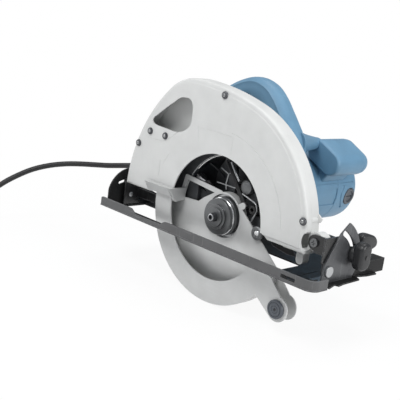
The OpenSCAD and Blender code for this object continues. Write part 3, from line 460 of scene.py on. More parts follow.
# %% Dust and painted top light
def make_dust_and_top_light():
    """Handling marks and fine dust in broad soft patches, a little thicker on faces that look up; for the
    blue mouldings its lighter colour is painted light on those faces.
    """
    tree, given, out = effect("soft_dust_and_top_light", "Amount", 0.3, "Mask")
    patches = put(tree, "TexNoise", Vector=given["Vector"], Scale=17.0, Detail=6.0, Roughness=0.62)
    up = put(tree, "SeparateXYZ", Vector=put(tree, "NewGeometry").outputs["Normal"])
    # Upward faces get more: real dust, and on the blue mouldings painted light.
    lift = spread(tree, up.outputs["Z"], -0.4, 1.0, 0.35, 1.0)
    soft = spread(tree, patches.outputs["Fac"], 0.42, 0.75)
    feed(out["Mask"], maths(tree, "MULTIPLY", maths(tree, "MULTIPLY", soft, lift), given["Amount"]))
    return tree


GROUPS = {tree.name: tree for tree in (make_grain(), make_rubbed(), make_scratches(), make_dust_and_top_light())}
print("node groups:", sorted(GROUPS))

# %% [markdown]
# ## Finishes
# One function builds every finish from the same recipe: a base colour that the mottle varies, a
# rubbed colour for edges and scratches, a dust colour, which on the blue mouldings is painted light
# on faces that look up, and a bump from the grain. The differences between paint, casting, plating
# and moulding are its values.

# %% Finish recipe
LATHE_PITCH = 0.0007   # metres between the rings that turning leaves


def blank_tree(owner):
    """The node tree of a material or a world, emptied."""
    owner.use_nodes = True
    owner.node_tree.nodes.clear()
    return owner.node_tree


def mixed(tree, factor, a, b, kind="RGBA"):
    """A Mix node on colours, or on numbers."""
    node = put(tree, "Mix", data_type=kind)
    wanted = "VALUE" if kind == "FLOAT" else kind
    pair = [s for s in node.inputs if s.name in "AB" and s.type == wanted]
    for socket, value in zip((node.inputs[0], *pair), (factor, a, b)):
        feed(socket, value)
    return [s for s in node.outputs if s.type == wanted][0]


def lathe_marks(tree, place, centre, height):
    """Adds the fine rings that turning leaves round an axis along Y."""
    shift = put(tree, "Mapping", Vector=place, Location=tuple(-c for c in centre))
    flat = maths(tree, "MULTIPLY", shift.outputs[0], (1, 0, 1), kind="VectorMath")
    radius = maths(tree, "LENGTH", flat, kind="VectorMath", output="Value")
    wave = maths(tree, "SINE", maths(tree, "MULTIPLY", radius, 2 * math.pi / LATHE_PITCH))
    return maths(tree, "MULTIPLY_ADD", wave, 0.5, height)


def finish(name, colour, worn, dust_colour, values, coat=0.0, shine=0.5, turned_axis=None):
    """One material; values are in the order of the table below."""
    roughness, metallic, grain, bump, vary, edges, scratches, dust_and_light = values
    material = bpy.data.materials.new(name)
    tree = blank_tree(material)
    place = put(tree, "TexCoord").outputs["Object"]

    def group(label, **controls):
        return put(tree, "Group", node_tree=GROUPS[label], Vector=place, **controls).outputs

    skin = group("fine_grain", Size=grain)
    wear = maths(tree, "MAXIMUM", group("rubbed_edges", Amount=edges)[0],
                 group("fine_scratches", Density=scratches)[0])
    # Dust film; on the blue mouldings it paints light on the faces that look up.
    dust_and_light_film = group("soft_dust_and_top_light", Amount=dust_and_light)[0]
    darker = [c * (1 - vary) for c in colour]
    lighter = [min(1.0, c * (1 + vary)) for c in colour]
    base = mixed(tree, skin["Mottle"], (*darker, 1), (*lighter, 1))
    base = mixed(tree, dust_and_light_film, mixed(tree, wear, base, (*worn, 1)), (*dust_colour, 1))
    rough = spread(tree, skin["Mottle"], 0, 1, roughness - 0.05, roughness + 0.06)
    rough = maths(tree, "MULTIPLY_ADD", dust_and_light_film, 0.3, mixed(tree, wear, rough, roughness, "FLOAT"))
    height = skin["Height"]
    if turned_axis is not None:
        height = lathe_marks(tree, place, turned_axis, height)
    relief = put(tree, "Bump", Strength=bump, Distance=grain * 0.5, Height=height)
    shader = put(tree, "BsdfPrincipled", Base_Color=base, Roughness=rough, Metallic=metallic,
                 Normal=relief.outputs[0], Coat_Weight=coat, Coat_Roughness=0.25, Specular_IOR_Level=shine)
    put(tree, "OutputMaterial", Surface=shader.outputs[0])
    return material


# %% Every finish on the saw
# Colour, rubbed colour and dust colour (on the blue plastic a lighter blue: painted light on faces
# that look up), then: roughness, metallic, grain in metres, bump, vary, edges, scratches, dust.
PALE_DUST = (0.42, 0.42, 0.40)
RECIPES = [
    ("pale_casting", (0.62, 0.625, 0.615), (0.74, 0.745, 0.74), (0.40, 0.39, 0.37),
     (0.42, 0, 0.0009, 0.35, 0.035, 0.35, 0.10, 0.05)),
    ("guard_sheet", (0.57, 0.575, 0.57), (0.66, 0.665, 0.67), (0.30, 0.30, 0.29),
     (0.36, 0.15, 0.0011, 0.18, 0.05, 0.4, 0.35, 0.06)),
    ("grey_casting", (0.045, 0.048, 0.052), (0.30, 0.31, 0.32), (0.16, 0.16, 0.16),
     (0.5, 0.2, 0.0012, 0.5, 0.2, 0.45, 0.12, 0.25)),
    ("bell_casting", (0.022, 0.024, 0.027), (0.22, 0.23, 0.24), (0.10, 0.10, 0.10),
     (0.34, 0.35, 0.0012, 0.35, 0.2, 0.45, 0.12, 0.15)),
    # The blue's dust colour is painted light: the lighter blue of lit faces, laid on faces that look up.
    ("blue_plastic", (0.115, 0.245, 0.37), (0.19, 0.33, 0.45), (0.24, 0.36, 0.47),
     (0.46, 0, 0.0007, 0.3, 0.06, 0.35, 0.12, 0.16)),
    ("black_plastic", (0.014, 0.0145, 0.016), (0.07, 0.07, 0.075), (0.07, 0.07, 0.07),
     (0.38, 0, 0.0007, 0.25, 0.2, 0.5, 0.2, 0.2)),
    ("grey_plastic", (0.075, 0.085, 0.10), (0.15, 0.16, 0.18), (0.16, 0.17, 0.18),
     (0.4, 0, 0.0007, 0.25, 0.12, 0.5, 0.1, 0.15)),
    ("black_steel", (0.013, 0.0133, 0.014), (0.26, 0.26, 0.27), (0.06, 0.06, 0.062),
     (0.30, 0, 0.0008, 0.15, 0.18, 0.75, 0.22, 0.12)),
    ("shoe_paint", (0.011, 0.0112, 0.0115), (0.20, 0.20, 0.205), (0.05, 0.05, 0.05),
     (0.48, 0, 0.0008, 0.15, 0.2, 0.7, 0.2, 0.12)),
    # A lighter copy of the shoe's black paint for its near wall: a painted reflection of the bright
    # surroundings on that glossy face.
    ("wall_paint", (0.085, 0.086, 0.088), (0.30, 0.30, 0.31), (0.12, 0.12, 0.12),
     (0.34, 0, 0.0008, 0.15, 0.12, 0.7, 0.3, 0.12)),
    ("quadrant_steel", (0.085, 0.088, 0.094), (0.40, 0.41, 0.42), PALE_DUST,
     (0.32, 0.5, 0.0009, 0.2, 0.1, 0.5, 0.3, 0.15)),
    ("flange_steel", (0.17, 0.175, 0.18), (0.45, 0.45, 0.46), PALE_DUST,
     (0.36, 0.8, 0.0008, 0.2, 0.15, 0.6, 0.2, 0.1)),
    ("machined_steel", (0.40, 0.41, 0.42), (0.62, 0.63, 0.64), PALE_DUST,
     (0.32, 0.85, 0.0008, 0.15, 0.1, 0.4, 0.2, 0.1)),
    ("bearing_steel", (0.52, 0.52, 0.54), (0.7, 0.7, 0.72), PALE_DUST,
     (0.22, 0.9, 0.0008, 0.08, 0.06, 0.3, 0.1, 0.05)),
    ("zinc_plated", (0.48, 0.49, 0.50), (0.68, 0.68, 0.69), PALE_DUST,
     (0.3, 0.85, 0.0007, 0.12, 0.1, 0.4, 0.2, 0.1)),
    ("chrome_part", (0.72, 0.73, 0.74), (0.85, 0.85, 0.86), PALE_DUST,
     (0.16, 0.9, 0.001, 0.05, 0.04, 0.3, 0.15, 0.05)),
    # Dark screw colour, which also paints the shade in the recess round each cover screw.
    ("dark_screw", (0.075, 0.078, 0.085), (0.35, 0.35, 0.36), PALE_DUST,
     (0.34, 0.6, 0.0006, 0.15, 0.15, 0.6, 0.2, 0.1)),
    ("lamination", (0.18, 0.18, 0.19), (0.4, 0.4, 0.41), PALE_DUST,
     (0.4, 0.7, 0.0006, 0.3, 0.15, 0.5, 0.2, 0.2)),
    ("copper", (0.42, 0.17, 0.07), (0.7, 0.36, 0.2), PALE_DUST,
     (0.3, 0.8, 0.0006, 0.3, 0.12, 0.5, 0.2, 0.2)),
    ("brass_part", (0.55, 0.38, 0.13), (0.75, 0.6, 0.3), PALE_DUST,
     (0.3, 0.9, 0.0006, 0.12, 0.1, 0.5, 0.2, 0.2)),
    ("cord_rubber", (0.010, 0.010, 0.011), (0.04, 0.04, 0.042), (0.04, 0.04, 0.041),
     (0.5, 0, 0.0006, 0.3, 0.25, 0.1, 0.1, 0.3)),
]
ON_SPINDLE = {"turned_axis": tuple(at(0, 0, 0))}
MORE = {"black_steel": {"coat": 0.1}, "shoe_paint": {"shine": 0.2},
        "flange_steel": ON_SPINDLE, "machined_steel": ON_SPINDLE}
FINISHES = {name: finish(name, *row, **MORE.get(name, {})) for name, *row in RECIPES}


def dress(obj, slot, paint=None):
    """Gives a piece the finish of its slot; its paint may differ from the slot's usual one."""
    obj.data.materials.clear()
    obj.data.materials.append(FINISHES[paint or slot])


dress(lead, "cord_rubber")
print("finishes:", len(FINISHES))

# %% [markdown]
# ## Construction nodes get clean shading and broken edges
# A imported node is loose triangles. A small Geometry Nodes tree merges its points and shades it
# smooth between gentle angles, and a Bevel modifier rounds its sharp edges a little, because no
# real edge is perfectly sharp. The node's own mesh isn't touched.

# %% Clean shading and rounded edges
def geometry_tree(name, *inputs):
    """A modifier's tree, which takes Geometry first and puts out Geometry."""
    made = new_tree(name, "Geometry", [("Geometry", "Geometry", None), *inputs], [("Geometry", "Geometry")])
    made[0].is_modifier = True
    return made


def make_smoother():
    """Geometry Nodes: merge by distance, then smooth shading except across edges sharper than Angle."""
    tree, given, out = geometry_tree("smooth_by_angle", ("Angle", "Float", 0.55))
    merge = put(tree, "GeometryNodeMergeByDistance", Geometry=given["Geometry"], Distance=2e-6)
    faces = put(tree, "GeometryNodeSetShadeSmooth", Geometry=merge.outputs["Geometry"])
    angle = put(tree, "GeometryNodeInputMeshEdgeAngle").outputs["Unsigned Angle"]
    gentle = maths(tree, "LESS_THAN", angle, given["Angle"], kind="FunctionNodeCompare")
    edges = put(tree, "GeometryNodeSetShadeSmooth", domain="EDGE", Geometry=faces.outputs["Geometry"],
                Shade_Smooth=gentle)
    feed(out["Geometry"], edges.outputs["Geometry"])
    return tree


SMOOTHER = make_smoother()
FLAT_ANGLE = math.radians(0.6)


def shade_cleanly(obj, width, merge_flat, angle=31.0):
    """Live modifiers: shading by angle, flat faces merged, edges broken by width in millimetres."""
    obj.modifiers.new("shading", "NODES").node_group = SMOOTHER
    if merge_flat:
        modifier(obj, "DECIMATE", decimate_type="DISSOLVE", angle_limit=FLAT_ANGLE)
    if width:
        modifier(obj, "BEVEL", width=width / 1000, segments=2, limit_method="ANGLE",
                 angle_limit=math.radians(angle), harden_normals=False)


def settle(obj, slot, body, *nodes, paint=None, width=0.0, merge_flat=False, angle=31.0):
    """Finishes and shades a piece, hides the nodes it stands for, and lets it ride on a body."""
    dress(obj, slot, paint)
    shade_cleanly(obj, width, merge_flat, angle)
    if nodes:
        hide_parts(*nodes)
    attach(obj, body)
    return obj


SLOT_OF = {part["node"]: part["material_slot"] for part in frame["record"]["subparts"]}
PAINT_OF = {"shoe": "shoe_paint", "rear_quadrant": "shoe_paint", "depth_guide": "black_steel",
            "depth_bolt": "black_steel", "bevel_bolt": "black_steel", "depth_pivot_screw": "flange_steel"}
EDGE_WIDTH = {"gear_case": 1.0, "lower_guard": 0.35, "shoe": 0.0, "depth_bracket": 0.5, "plug_body": 1.2,
              "trigger": 1.5, "front_quadrant": 0.35, "depth_guide": 0.35, "cord_guard": 0.5}
PLAIN_WIDTH = 0.3
for node, obj in frame["nodes"].items():
    dress(obj, SLOT_OF[node], PAINT_OF.get(node))
    shade_cleanly(obj, EDGE_WIDTH.get(node, PLAIN_WIDTH), True)
print("dressed nodes:", len(frame["nodes"]))

# %% [markdown]
# ## Tools for moulded pieces
# Cast and moulded parts are mostly an outline that is offset and pushed to a depth, ring by ring.
# Grooves are cut with a thin V-shaped body, and beads are thin tubes that are half sunk in a face.

# %% Outline tools
def polar(r, degrees):
    a = math.radians(degrees)
    return np.array([r * math.cos(a), r * math.sin(a)])


def inset(outline, distance):
    """Moves each side of an anticlockwise outline inwards by the same distance."""
    p = np.array(outline, float)
    before, after = p - np.roll(p, 1, axis=0), np.roll(p, -1, axis=0) - p
    normals = []
    for step in (before, after):
        step = step / np.linalg.norm(step, axis=1)[:, None]
        normals.append(np.stack([-step[:, 1], step[:, 0]], axis=1))
    mean = normals[0] + normals[1]
    mean /= np.maximum(1e-9, np.einsum("ij,ij->i", mean, normals[0]))[:, None]
    return p + distance * mean


def leaning(points, centre, degrees):
    """Points of a frame that is turned about Y, on the drawing."""
    c, s = math.cos(math.radians(degrees)), math.sin(math.radians(degrees))
    return [(centre[0] + c * x - s * z, centre[1] + s * x + c * z) for x, z in points]


def ring_y(outline, y):
    """An outline in X and Z at a depth; the depth may depend on the place."""
    return [at(x, y(x, z) if callable(y) else y, z) for x, z in outline]


def groove(points, width, depth, y):
    """A thin V-shaped cutter along a line on a face at distance y, towards the motor."""
    line = [Vector((x, 0, z)) for x, z in points]
    rings = []
    proud = -0.4   # the cutter starts a little in front of the face
    for i, p in enumerate(line):
        along = (line[min(i + 1, len(line) - 1)] - line[max(i - 1, 0)]).normalized()
        side = Vector((-along.z, 0, along.x)) * width / 2
        rings.append([at(q.x, y + d, q.z) for q, d in ((p + side, proud), (p - side, proud), (p, depth))])
    return swept("groove", rings)


def tube(name, points, radius, sides=12):
    """A round bar along points on the drawing."""
    line = [Vector(p) for p in points]
    rings, up = [], None
    for i, p in enumerate(line):
        along = (line[min(i + 1, len(line) - 1)] - line[max(i - 1, 0)]).normalized()
        side = along.orthogonal() if up is None else up - up.dot(along) * along
        up = side.normalized()
        other = along.cross(up)
        rings.append([at(*(p + radius * (math.cos(a) * up + math.sin(a) * other)))
                      for a in (2 * math.pi * k / sides for k in range(sides))])
    return swept(name, rings)


def smooth_step(value, low, high):
    t = min(1.0, max(0.0, (value - low) / (high - low)))
    return t * t * (3 - 2 * t)


# %% [markdown]
# ## The upper guard's cover
# The cover's rim runs along four arcs that meet smoothly. Its section turns from the side to the
# face over a soft step, which fades out towards the rear. The face has a chip chute, whose floor
# goes deeper to the front, and fine cast lines.

# %% Cover outline
COVER_Y = drawn("guard_cover")[0].y
COVER_INNER = -4.0                          # where cutters stop, behind the cover
WINDOW_R = 86.0
PIVOT = (165.0, 12.5)
ARC_R = (164.0, 395.0, 75.0, 226.0)         # front, top, crown and rear flank
ARC_MEET = (72.7, 88.0, 131.7)
FRONT_ARC = np.array([-7.0, 4.7])
TOP_ARC = FRONT_ARC - polar(ARC_R[1] - ARC_R[0], ARC_MEET[0])
CROWN_ARC = TOP_ARC + polar(ARC_R[1] - ARC_R[2], ARC_MEET[1])
REAR_ARC = CROWN_ARC - polar(ARC_R[3] - ARC_R[2], ARC_MEET[2])


def guard_outline(inwards):
    front_r, rear_r = ARC_R[0] - inwards, ARC_R[3] - inwards
    first = math.degrees(math.asin((-5 + inwards - FRONT_ARC[1]) / front_r))
    last = 180 - math.degrees(math.asin((3 + inwards - REAR_ARC[1]) / rear_r))
    return (arc(FRONT_ARC, front_r, first, ARC_MEET[0], 60)
            + arc(TOP_ARC, ARC_R[1] - inwards, ARC_MEET[0], ARC_MEET[1], 24)[1:]
            + arc(CROWN_ARC, ARC_R[2] - inwards, ARC_MEET[1], ARC_MEET[2], 30)[1:]
            + arc(REAR_ARC, rear_r, ARC_MEET[2], last, 40)[1:] + [(0, 3 + inwards), (0, -5 + inwards)])


# %% Cover body
STEPPED_RIM = [(7.6, -18.0), (6.8, -17.8), (6.0, -17.0), (5.2, -16.8), (2.6, -16.4), (1.2, -15.7),
               (0.3, -14.3), (0.0, -12.5), (0.0, -6.2)]
ROUND_RIM = [(7.6, -18.0), (6.8, -18.0), (6.0, -18.0), (5.2, -18.0), (3.2, -17.75), (1.6, -17.1),
             (0.5, -15.8), (0.0, -13.8), (0.0, -6.2)]


def cover_body():
    rings = []
    for (d0, y0), (d1, y1) in zip(STEPPED_RIM, ROUND_RIM):
        ring = []
        for (x0, z0), (x1, z1) in zip(guard_outline(d0), guard_outline(d1)):
            t = smooth_step(x0, -120, -20)
            ring.append(at(x1 + t * (x0 - x1), y1 + t * (y0 - y1), z1 + t * (z0 - z1)))
        rings.append(ring)
    for inwards, y in ((3.0, -6.2), (3.0, -16.0), (7.6, -16.0)):
        rings.append(ring_y(guard_outline(inwards), y))
    return swept("guard_cover_skin", rings)


SCOOP_AT = CROWN_ARC + polar(ARC_R[2] - 33.8, 151.5)
SCOOP = [(-41, -18), (-12, -21.5), (12, -22), (27, -16), (34.5, -8), (35, 12), (33, 20), (28, 24.5),
         (19, 25), (9, 23), (-2, 15.5), (-20, 3), (-35, -8.5), (-41, -13.5)]


def scoop_outline(inwards):
    """The chute's outline with its corners rounded by a closed spline."""
    samples = 7
    corners = [Vector((x, 0, z)) for x, z in SCOOP]
    line = spline([corners[-1]] + corners + [corners[0], corners[1]], samples)[samples:-samples - 1]
    return inset([(SCOOP_AT[0] + p.x, SCOOP_AT[1] + p.z) for p in line[:len(corners) * samples]], inwards)


def scoop_rings(*levels):
    """Rings of the chute's outline, from how far it is inset and its depth."""
    return [ring_y(scoop_outline(inwards), y) for inwards, y in levels]


def scoop_floor(lower):
    """The floor's depth as a function of place; it is deeper towards the front."""
    return lambda x, z: -16.4 + (x - SCOOP_AT[0] + 41) / 75 * 6.4 + lower


def chip_chute():
    """A shallow bowl behind the cover's face: a lip, sloping walls and a floor with a deeper part."""
    bowl = swept("chip_chute", scoop_rings((-2.4, -4.9), (-2.4, -18.0), (-1.7, -18.5), (-0.9, -18.6)))
    pocket = swept("pocket", scoop_rings((-0.9, -19.5), (-0.4, -18.2), (0.6, -17.2), (4.2, scoop_floor(0.3))))
    well = [(20, 20), (28, 17), (30.5, 8), (27, -6), (16, -13), (1, -13.5), (-5, -8), (-7, 5), (9, 18.5)]
    well = [(SCOOP_AT[0] + x, SCOOP_AT[1] + z) for x, z in well]
    deep = swept("well", [ring_y(well, -19), ring_y(well, scoop_floor(0.2)),
                          ring_y(inset(well, 2.2), scoop_floor(2.4))])
    return carve(bowl, pocket, deep)


def make_cover():
    body = cover_body()
    underside = [(-250, 1.5), (-185, 2), (-132, 4), (-82, 21), (-60, 21), (60, 3), (89, 3), (101, -5),
                 (139, -4), (250, -4), (250, -250), (-250, -250)]
    openings = [slab(name, outline, COVER_Y - 2, COVER_INNER) for name, outline in (
        ("window", arc((0, 0), WINDOW_R, 0, 360, 144)[:-1]), ("underside", underside),
        ("pivot_opening", arc(PIVOT, 14.5, 0, 360, 48)[:-1]))]
    openings += [block("mouth", (-124, COVER_Y + 2, -60), (124, COVER_INNER, 6)),
                 slab("chute_opening", scoop_outline(-1.5), COVER_Y - 2, COVER_INNER)]
    lines = [(arc((0, 0), 119, 8, 84, 60), 1.3, 0.5),
             ([(-45, 115), (-10, 114.3), (17.4, 113.6), (17.4, 101), (17.4, 89)], 1.0, 0.35),
             ([(-49, 116), (-47, 103), (-45, 90)], 1.3, 0.45),
             ([(-153, 82), (-133, 81.2), (-113, 81.4), (-100, 91), (-86, 102)], 1.2, 0.4)]
    carve(body, *openings, *(groove(line, width, depth, COVER_Y) for line, width, depth in lines))
    beads = [tube("bead", [(x, COVER_Y + y, z) for x, y, z in points], radius) for points, radius in (
        ([(-118, 0.4, 54), (-118, 0.3, 42), (-118, 0.4, 31)], 0.9),
        ([(-101, 0.45, 67), (-110, 0.4, 53), (-113, 0.45, 45)], 0.8))]
    cover = joined("guard_cover_skin", [body, chip_chute(), *beads])
    return settle(cover, "pale_casting", "housing", "guard_cover", width=0.5, angle=38)


cover = make_cover()
print("cover faces:", len(cover.data.polygons))

# %% [markdown]
# ## The main handle
# Two moulded shells meet on the parting plane. Each is a half section swept along the handle's
# line. The section is a superellipse with two soft ridges, and it spreads where it joins the motor.

# %% Handle
HANDLE_PATH = [(36, 68), (40, 98), (37, 114), (27, 128), (14, 144), (2, 158), (-13, 170), (-34, 175.5),
               (-58, 169), (-95, 147), (-128, 118), (-152, 84), (-165, 48), (-163, 20), (-120, 6), (-70, 6),
               (-25, 18)]
HANDLE_HALF = 17.0
GRIP_HALF = 14.0
TRIGGER_AT, TRIGGER_LEAN = (-72.0, 159.3), 30.0


def handle_section(wider, fuller):
    """Half a section, inner edge to outer: across the grip, and off the plane. It may be fuller inside."""
    out = []
    samples = 22
    for i in range(samples + 1):
        a = math.radians(-90 + 180 * i / samples)
        u = math.copysign(abs(math.sin(a)) ** (2 / 2.7), math.sin(a)) * GRIP_HALF * wider
        v = math.cos(a) ** (2 / 2.7) * HANDLE_HALF if i not in (0, samples) else 0.0
        ridge = math.exp(-((u - 7.5) / 1.8) ** 2) - 0.6 * math.exp(-((u - 3.0) / 3.0) ** 2)
        reach = u - fuller * (u / GRIP_HALF) ** 2 if u < 0 else u
        out.append((reach, v + 0.9 * ridge * min(1.0, v / 8)))
    return out


def handle_shell(name, node, side):
    """The shell on one side of the parting plane: -1 is the near one, 1 the far one."""
    path = spline([(x, 0, z) for x, z in HANDLE_PATH], 9)
    rings = []
    for i, p in enumerate(path):
        along = (path[min(i + 1, len(path) - 1)] - path[max(i - 1, 0)]).normalized()
        outwards = Vector((along.z, 0, -along.x))
        fuller = 10.0 * smooth_step(i, 22, 40) * (1 - smooth_step(i, 60, 70))
        wider = 1 + 0.45 * (1 - smooth_step(i, 0, 22)) + 0.25 * smooth_step(i, len(path) - 20, len(path))
        rings.append([at(*(p.x + outwards.x * u, HANDLE_Y + side * (0.12 + v), p.z + outwards.z * u))
                      for u, v in handle_section(wider, fuller)])
    shell = swept(name, rings)
    y0, y1 = HANDLE_Y - 9.4, HANDLE_Y + 9.4
    gap = leaning([(-20.6, -22), (20.6, -22), (20.6, 0.5), (-20.6, 0.5)], TRIGGER_AT, TRIGGER_LEAN)
    bore = turned("bore", [(0, 50), (53.8, 50), (53.8, 130), (0, 130)], "Y", (MOTOR_X, 0, MOTOR_Z), 96)
    carve(shell, slab("opening", gap, y0, y1), bore)
    if side > 0:
        hole = turned("hole", [(0, 0), (5.1, 0), (5.1, 30), (0, 30)], "Y", (0, HANDLE_Y, 0), 32)
        (x, z), = leaning([(10, 2)], TRIGGER_AT, TRIGGER_LEAN)
        hole.data.transform(Matrix.Translation(at(x, 0, z) - at(0, 0, 0)))
        carve(shell, hole)
    return settle(shell, "blue_plastic", "housing", node, width=0.45, angle=45)


shells = [handle_shell("handle_near_skin", "handle_shell_near", -1),
          handle_shell("handle_far_skin", "handle_shell_far", 1)]
print("handle faces:", [len(shell.data.polygons) for shell in shells])

# %% [markdown]
# ## The front grip
# The front grip is a rounded sleeve with a flat near face, a fine seam, and a rounded far end. A
# saddle joins it to the motor, and a root blends it into the handle.

# %% Front grip
GRIP_AT, GRIP_LEAN = (50.6, 88.9), -28.6
GRIP_W, GRIP_T = 57.5, 30.5
GRIP_Y0, GRIP_Y1 = 140.0, 220.0


def stadium(inwards):
    """The grip's section, anticlockwise and leaning."""
    half, r = (GRIP_W - GRIP_T) / 2, GRIP_T / 2 - inwards
    return leaning(arc((half, 0), r, -90, 90, 16) + arc((-half, 0), r, 90, 270, 16), GRIP_AT, GRIP_LEAN)


GRIP_RINGS = [(0.7, 140.0), (0.0, 140.15), (-0.9, 140.9), (-1.8, 142.4), (-2.4, 144.8), (-2.6, 148.0),
              (-2.6, 175.0), (-2.6, 203.6), (-1.8, 204.2), (-1.8, 204.8), (-2.3, 205.6), (-1.9, 209.5),
              (-1.2, 213.0), (0.2, 216.0), (2.8, 218.4), (6.5, 219.7), (10.5, 220.2)]


def grip_root():
    """A loft from the handle's front limb to the grip's upper rear corner, which it meets behind its face."""
    turns = np.linspace(0, 2 * math.pi, 33)[:-1]
    start = np.array([(18.5 * math.cos(a), 17 * math.sin(a)) for a in turns])
    end = np.array([(10 * math.cos(a), 8.5 * math.sin(a)) for a in turns])
    rings = []
    from_y, to_y = 84, GRIP_Y0 + 12
    for t in np.arange(17) / 16:
        s = t * (1.35 - 0.35 * t)
        middle = (1 - s) * np.array([39.5, 110.0]) + s * np.array([28.0, 105.2])
        rings.append(ring_y(middle + (1 - s) * start + s * end, from_y + t * (to_y - from_y)))
    return swept("root", rings)


def grip_saddle():
    """The block that carries the grip on the motor."""
    outline = leaning([(-17, -34), (17, -34), (19, 2), (-19, 2)], GRIP_AT, GRIP_LEAN)
    saddle = slab("saddle", outline, GRIP_Y0 + 8, GRIP_Y1 - 16)
    modifier(saddle, "BEVEL", width=0.004, segments=4, limit_method="ANGLE")
    return apply_modifiers(saddle)


sleeve = swept("sleeve", [ring_y(stadium(d), y) for d, y in GRIP_RINGS])
front_grip = joined("front_grip_skin", [sleeve, grip_root(), grip_saddle()])
settle(front_grip, "blue_plastic", "housing", "front_grip")
print("front grip faces:", len(front_grip.data.polygons))

# %% [markdown]
# ## Motor housing and end cap
# Both are turned shells with details cut into their skin: a long ledge, a bare recessed panel, a
# wavy slot, and the vents. A cutter for the skin is a thin curved block, made in angle and distance.

# %% Motor skin tools
def on_motor(y, degrees, r):
    """A point on a cylinder about the motor's axis; angles go up from the front."""
    x, z = polar(r, degrees)
    return (MOTOR_X + x, y, MOTOR_Z + z)


def skin_block(y0, y1, a0, a1, r0, r1, steps):
    """A curved block between two distances, two angles and two radii."""
    rings = []
    for i in range(steps + 1):
        a = a0 + (a1 - a0) * i / steps
        rings.append([at(*on_motor(y, a, r)) for y, r in ((y0, r0), (y1, r0), (y1, r1), (y0, r1))])
    return swept("skin_block", rings)


MOTOR_CENTRE = (MOTOR_X, 0, MOTOR_Z)
HOUSING_START = housing_lo.y
CLEAR_R = 56.0                       # cutters of the skin reach this far out
LEDGE_LOW, LEDGE_HIGH = 14.6, 15.8   # degrees
BRUSH_Y, BRUSH_LEAN, BRUSH_HOLE_R = 223.0, -8.8, 13.6
EAR = [(0, 52.4), (6.2, 52.4), (6.7, 53), (6.7, 62.5), (5.9, 63.6), (0, 63.8)]


def make_motor_housing():
    profile = [(54, HOUSING_START + 1), (53.2, HOUSING_START), (50.6, HOUSING_START), (50.6, CAP_START - 0.1),
               (53.4, CAP_START - 0.1), (54, CAP_START - 0.8)]
    body = turned("motor_housing_skin", profile, "Y", MOTOR_CENTRE, 160)
    cutters = [skin_block(96, CAP_START + 1, LEDGE_LOW, LEDGE_HIGH, 52.9, CLEAR_R, 4),
               skin_block(104, 188.5, -20.5, 7, 53.1, CLEAR_R, 18)]
    cutters += [skin_block(68, 84, a, a + 3, 48, CLEAR_R, 4) for a in range(188, 252, 12)]
    cutters += [skin_block(100, 160, a, a + 1.2, 53.2, CLEAR_R, 4) for a in (96, 124, 152, 214, 242)]
    carve(body, *cutters)
    ears = [turned("ear", EAR, "Y", on_motor(0, a, 51), 32) for a in (60, 150, 240, 330)]
    housing = joined("motor_housing_skin", [body, *ears])
    return settle(housing, "blue_plastic", "housing", "motor_housing", width=0.35, angle=40)


def make_end_cap():
    profile = [(0, 237.5), (20, 237.5), (50.6, 232), (50.6, CAP_START + 0.1), (53.4, CAP_START + 0.1),
               (54, CAP_START + 0.9), (54, 231), (53.4, 235), (51.6, 238.4), (48.6, 240.9), (44, 242),
               (15, 242), (14, 241.2), (0, 241.2)]
    body = turned("motor_cap_skin", profile, "Y", MOTOR_CENTRE, 160)
    line = spline([on_motor(y, a, 54.6) for y, a in
                   ((205.5, 11), (204, 5.5), (200, -2.6), (201.5, -10), (206, -20), (212.5, -29))], 6)
    cutters = [skin_block(CAP_START - 1, 228, LEDGE_LOW, LEDGE_HIGH, 52.9, CLEAR_R, 4),
               tube("slot", line, 1.9)]
    centre = np.array([MOTOR_X, MOTOR_Z])
    for a in range(0, 360, 20):
        start, end, side = centre + polar(24, a), centre + polar(40, a), polar(1.5, a + 90)
        cutters.append(slab("vent", [start - side, end - side, end + side, start + side], 230, 244))
    for a in (BRUSH_LEAN, BRUSH_LEAN + 180):
        ends = [on_motor(BRUSH_Y, a, r) for r in (46, 60)]
        cutters.append(tube("brush_hole", ends, BRUSH_HOLE_R, 48))
    carve(body, *cutters)
    return settle(body, "blue_plastic", "housing", "motor_end_cap", width=0.35, angle=40)


def make_brush_caps():
    """A slotted cap on each side of the motor, let into the end cap."""
    profile = [(0, 52.4), (8.4, 52.4), (8.8, 52.9), (9.0, 54.0), (11.4, 54.5), (12.4, 54.0), (12.9, 52.8),
               (12.9, 46), (0, 46)]
    caps = []
    for side in (0, 180):
        cap = turned("cap", profile, "X", (MOTOR_X, BRUSH_Y, MOTOR_Z), 48)
        carve(cap, block("slot", (MOTOR_X + 51, BRUSH_Y - 7.5, MOTOR_Z - 1.1),
                         (MOTOR_X + 56, BRUSH_Y + 7.5, MOTOR_Z + 1.1)))
        middle = Matrix.Translation(at(MOTOR_X, 0, MOTOR_Z))
        turn = Matrix.Rotation(-math.radians(BRUSH_LEAN + side), 4, "Y")
        cap.data.transform(middle @ turn @ middle.inverted())
        caps.append(cap)
    return settle(joined("brush_caps_skin", caps), "grey_plastic", "housing", "brush_caps")


motor_skins = [make_motor_housing(), make_end_cap(), make_brush_caps()]
print("motor faces:", [len(skin.data.polygons) for skin in motor_skins])

# %% [markdown]
# ## Screws, placed by Geometry Nodes
# Each kind of screw is modelled once at the origin. A small Geometry Nodes tree puts a copy on
# every point, turns each by a random angle from a fixed seed, and makes them real mesh.

# %% Repeater
def socket_id(tree, name):
    """The identifier of a named input, which a modifier's settings go by."""
    for item in tree.interface.items_tree:
        if item.name == name and item.in_out == "INPUT":
            return item.identifier
    raise KeyError(name)


